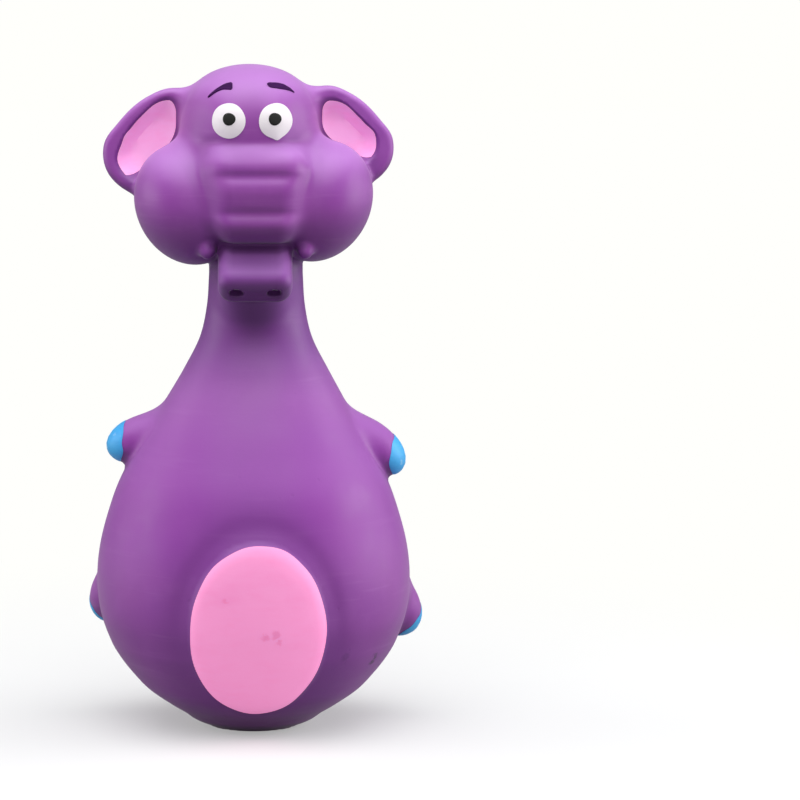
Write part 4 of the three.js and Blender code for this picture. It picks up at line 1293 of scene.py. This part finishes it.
def smudged(coat, place, tint, *spots):
    for centre, reach, strength in spots:
        mask = use_group(smudge, place, Centre=centre, Reach=reach)["Mask"]
        coat = mix(times(mask, strength), coat, tint)
    return coat


def cover(shader, coat, glow_share=None):
    feed(shader, Base_Color=coat)
    # Painted light: a share of the coat's own colour is given off as glow.
    if glow_share is not None:
        feed(shader, Emission_Color=mix(glow_share, colour(0, 0, 0), coat), Emission_Strength=1.0)


# %% [markdown]
# ### Purple latex
# The rubber is coloured right through, so it never chips. Its tone drifts between a redder and a
# bluer purple, with paler streaks of handling that run level round the body. Over that lie thin
# layers, each a mask and a tint, and most of them are painted light: a painted highlight where the
# latex faces up, painted shade on the chest, the neck, the undersides, round the pad, under the trunk,
# in sheltered recesses and in every fold, and a paler foot painted for the light that the floor throws
# up. A few dark marks and pale scuffs come last. A weak sheen lightens the edges at grazing angles.

# %% Latex finish
latex, shader, place = start_finish("purple_latex", 0.5)
feed(shader, Sheen_Weight=0.18, Sheen_Roughness=0.4)
tone = use_group(clouds, place, Scale=30.0, Seed=1.0)["Tone"]
fine = use_group(clouds, place, Scale=150.0, Seed=4.0)["Tone"]
grain = use_group(pores, place)
streaks = use_group(brush, place, Stretch=(0.3, 0.3, 3.4), Scale=150.0)["Mark"]
# Masks for painted shade, kept at each point of the skins.
pad_shade, throat, shelter_shade, fold_shade = (node("ShaderNodeAttribute", attribute_name=label).outputs["Fac"]
                                 for label in ("pad_shade_share", "throat", "shelter_shade", "fold_shade"))
upward = height_in(place.node.outputs["Normal"])
height = height_in(place)
layers = {
    "uneven skin": (ramp(fine, 0.4, 1.0, 0.0, 0.2), (163, 88, 178)),
    "streaks": (ramp(streaks, 0.55, 0.75, 0.0, 0.2), (182, 116, 192)),
    # Painted shade: a darker, deeper band round the chest.
    "chest": (band(height, 0.028, 0.040, 0.054, 0.066, 0.6), (141, 50, 160)),
    # Painted highlight: latex that faces up is paler.
    "painted top light": (times(ramp(upward, 0.28, 0.8), ramp(height, 0.050, 0.072, 0.3, 0.62)), (186, 129, 206)),
    # Painted shade: latex that faces down is darker.
    "painted underside shade": (times(ramp(upward, 0.05, -0.7), ramp(height, 0.004, 0.03, 0.1, 0.6)), (98, 44, 114)),
    # Painted shade: a darker band round the neck, under the head.
    "neck": (band(height, 0.062, 0.074, 0.086, 0.094, 0.5), (104, 44, 134)),
    # Painted shade round the belly pad.
    "painted shade round the pad": (times(pad_shade, 0.4), (104, 46, 126)),
    # Painted shade under the trunk and on the face of its tip.
    "painted shade under the trunk": (times(throat, 0.62), (66, 26, 80)),
    # Painted shade in recesses, where another swell stands close.
    "shelter_shade": (ramp(shelter_shade, 0.12, 0.6, 0.0, 0.4), (104, 46, 124)),
    # Painted shade in every fold.
    "folds": (ramp(fold_shade, 0.15, 0.6, 0.0, 0.42), (78, 30, 92)),
    # Painted light: the foot is paler, for the light that the floor throws up.
    "painted floor light on the foot": (ramp(height, 0.0075, 0.001, 0.0, 0.55), (158, 112, 166)),
}
coat = mix(tone, colour(141, 62, 161), colour(149, 67, 162))
for amount, tint in layers.values():
    coat = mix(amount, coat, colour(*tint))
coat = smudged(coat, place, colour(58, 20, 70), ((0.0221, -0.0125, 0.0158), 0.0013, 0.85),
               ((0.0219, -0.0124, 0.0145), 0.0011, 0.8), ((0.0165, -0.0191, 0.0166), 0.0015, 0.3))
coat = smudged(coat, place, colour(214, 170, 222), ((-0.0203, -0.0006, 0.1182), 0.0007, 0.5),
               ((-0.0198, -0.0006, 0.1192), 0.0007, 0.5))
cover(shader, mix(times(grain["Pit"], 0.12), coat, colour(84, 38, 96)))
feed(shader, Roughness=ramp(fine, 0.0, 1.0, 0.46, 0.56))
bump(shader, maths("ADD", grain["Height"], times(streaks, 0.7)), 0.00005, 0.6)
print("purple latex: %d layers, %d nodes" % (len(layers), len(tree.nodes)))

# %% [markdown]
# ### Brushed paints
# The paints are matte and thin. They share one recipe: a colour with slow clouds, brush marks that
# change tone and height a little, and a second tone that the marks let through. The pink oval and one
# blue tip carry a few smudges. The oval glows more toward its lower end: painted floor light.

# %% Paint finishes
def paint_finish(name, main, through, roughness, scale=260.0, stretch=(1.0, 1.0, 3.0), depth=0.00004):
    material, shader, place = start_finish(name, roughness, 0.4)
    tone = use_group(clouds, place, Scale=110.0, Seed=2.0)["Tone"]
    mark = use_group(brush, place, Stretch=stretch, Scale=scale)["Mark"]
    grain = use_group(pores, place, Grain=2200.0, Pits=300.0)
    coat = mix(times(tone, ramp(mark, 0.3, 0.7, 0.3, 1.0)), colour(*main), colour(*through))
    feed(shader, Roughness=ramp(mark, 0.3, 0.7, roughness - 0.05, roughness + 0.07))
    bump(shader, maths("ADD", mark, grain["Height"]), depth, 0.6)
    return material, shader, place, coat


belly_paint, shader, place, coat = paint_finish("pink_belly_paint", (252, 156, 210), (248, 148, 204), 0.55)
coat = smudged(coat, place, colour(196, 92, 150),
               ((0.0022, -0.0277, 0.0217), 0.0010, 0.36), ((0.0041, -0.0277, 0.0222), 0.0012, 0.36),
               ((0.0046, -0.0277, 0.0206), 0.0011, 0.36), ((-0.0050, -0.0277, 0.0285), 0.0008, 0.36))
# Painted light: the oval glows, more toward its lower end, for the light that the floor throws up.
cover(shader, coat, ramp(height_in(place), 0.004, 0.038, 0.46, 0.14))

ear_paint, shader, place, coat = paint_finish("pink_ear_paint", (252, 182, 232), (250, 164, 220), 0.55)
# Painted light: the ear pink glows a little.
cover(shader, coat, 0.22)

blue_paint, shader, place, coat = paint_finish("blue_tip_paint", (72, 178, 240), (62, 160, 228), 0.45)
bare = use_group(clouds, place, Scale=520.0, Seed=7.0)["Tone"]
coat = mix(ramp(bare, 0.9, 1.0, 0.0, 0.35), coat, colour(180, 222, 244))
cover(shader, smudged(coat, place, colour(226, 240, 248), ((-0.0268, -0.0012, 0.0562), 0.0011, 0.8),
                      ((-0.0272, -0.0022, 0.0553), 0.0008, 0.8)))

white_paint, shader, place, coat = paint_finish("white_eye_paint", (214, 209, 212), (208, 200, 208), 0.5)
# Painted light: the eye white glows, which hides the shade at its edges.
cover(shader, coat, 0.28)

black_paint, shader, place, coat = paint_finish("black_pupil_paint", (8, 8, 8), (18, 17, 16), 0.7)
cover(shader, coat)

brow_paint, shader, place, coat = paint_finish(
    "dark_brow_paint", (46, 8, 62), (62, 18, 80), 0.7, 420.0, (0.5, 1.0, 4.0), 0.00008)
feed(shader, Specular_IOR_Level=0.1)
cover(shader, coat)
paints = (belly_paint, ear_paint, blue_paint, white_paint, black_paint, brow_paint)
print("paints:", ", ".join(paint.name for paint in paints))

# %% [markdown]
# ### Wadding, plastic and brass
# The wadding is matted fibre: fine crossing threads in the height, with a soft sheen. The squeaker is
# plain moulded plastic with a mould's grain, and its reed is a strip of thin brass with drawn lines.

# %% Finishes inside
wadding_finish, shader, place = start_finish("white_wadding", 0.95, 0.2)
feed(shader, Sheen_Weight=0.3)
threads = [use_group(brush, place, Stretch=way, Scale=700.0)["Mark"]
           for way in ((1.0, 6.0, 6.0), (6.0, 1.0, 6.0), (6.0, 6.0, 1.0))]
matted = maths("ADD", maths("ADD", threads[0], threads[1]), threads[2])
cover(shader, mix(ramp(matted, 1.2, 1.8), colour(216, 214, 208), colour(244, 243, 240)))
bump(shader, matted, 0.0003, 0.8)

plastic_finish, shader, place = start_finish("white_plastic", 0.4)
tone = use_group(clouds, place, Scale=240.0, Seed=6.0)["Tone"]
cover(shader, mix(tone, colour(236, 235, 230), colour(226, 225, 220)))
feed(shader, Roughness=ramp(tone, 0.0, 1.0, 0.34, 0.46))
bump(shader, use_group(pores, place, Grain=3200.0, Pits=500.0)["Height"], 0.00002, 0.5)

brass_finish, shader, place = start_finish("reed_brass", 0.3)
drawn = use_group(brush, place, Stretch=(12.0, 12.0, 0.6), Scale=900.0)["Mark"]
cover(shader, mix(ramp(drawn, 0.35, 0.65), colour(202, 164, 84), colour(224, 190, 112)))
feed(shader, Metallic=1.0, Roughness=ramp(drawn, 0.3, 0.7, 0.24, 0.38))
bump(shader, drawn, 0.00001, 0.5)
print("inside:", ", ".join(finish.name for finish in (wadding_finish, plastic_finish, brass_finish)))

# %% [markdown]
# Every piece gets its finish, and the finishes are listed under slot names. The ear linings share the
# oval's slot but have a paler pink.
# Every CAD node gets a finish too, also those that a dressed piece stands for: the first in the list
# whose word is in the node's name. The squeaker's own nodes keep their CAD shape, because plain
# moulded parts are right as they are.

# %% Give every piece its finish
slots = {
    "purple_latex": (latex, [torso_latex, head_latex, *limb_latex.values(), *ear_latex.values()]),
    "pink_paint": (belly_paint, [belly_pink, *linings.values()]),
    "blue_paint": (blue_paint, blue_tips.values()),
    "white_paint": (white_paint, eye_whites.values()),
    "black_paint": (black_paint, pupils.values()),
    "dark_purple_paint": (brow_paint, brows.values()),
    "white_wadding": (wadding_finish, [body_wadding, neck_wadding, head_wadding]),
}
for name, (finish, group) in slots.items():
    for piece in group:
        piece.data.materials.append(finish)
for piece in linings.values():
    piece.data.materials[0] = ear_paint
print("pieces:", sum(len(group) for finish, group in slots.values()))

finish_of_word = (
    ("squeaker", plastic_finish), ("fibre", plastic_finish), ("seal", plastic_finish),
    ("reed_", plastic_finish), ("reed", brass_finish), ("filling", wadding_finish), ("paint", blue_paint),
    ("eyebrow", brow_paint), ("eye", white_paint), ("pupil", black_paint), ("lining", ear_paint),
    ("belly_patch", belly_paint), ("", latex),
)
for name, cad_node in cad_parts.items():
    for slot in cad_node.material_slots:
        slot.material = next(finish for word, finish in finish_of_word if word in name)
print("finishes:", len(bpy.data.materials))

# %% Write both boxes and finish
dressed_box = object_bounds()
for axis, letter in enumerate("xyz"):
    ends = [corner[axis] / millimetre for box in (cad_box, dressed_box) for corner in box]
    print("%s: CAD %.2f to %.2f, dressed %.2f to %.2f mm" % (letter, *ends))
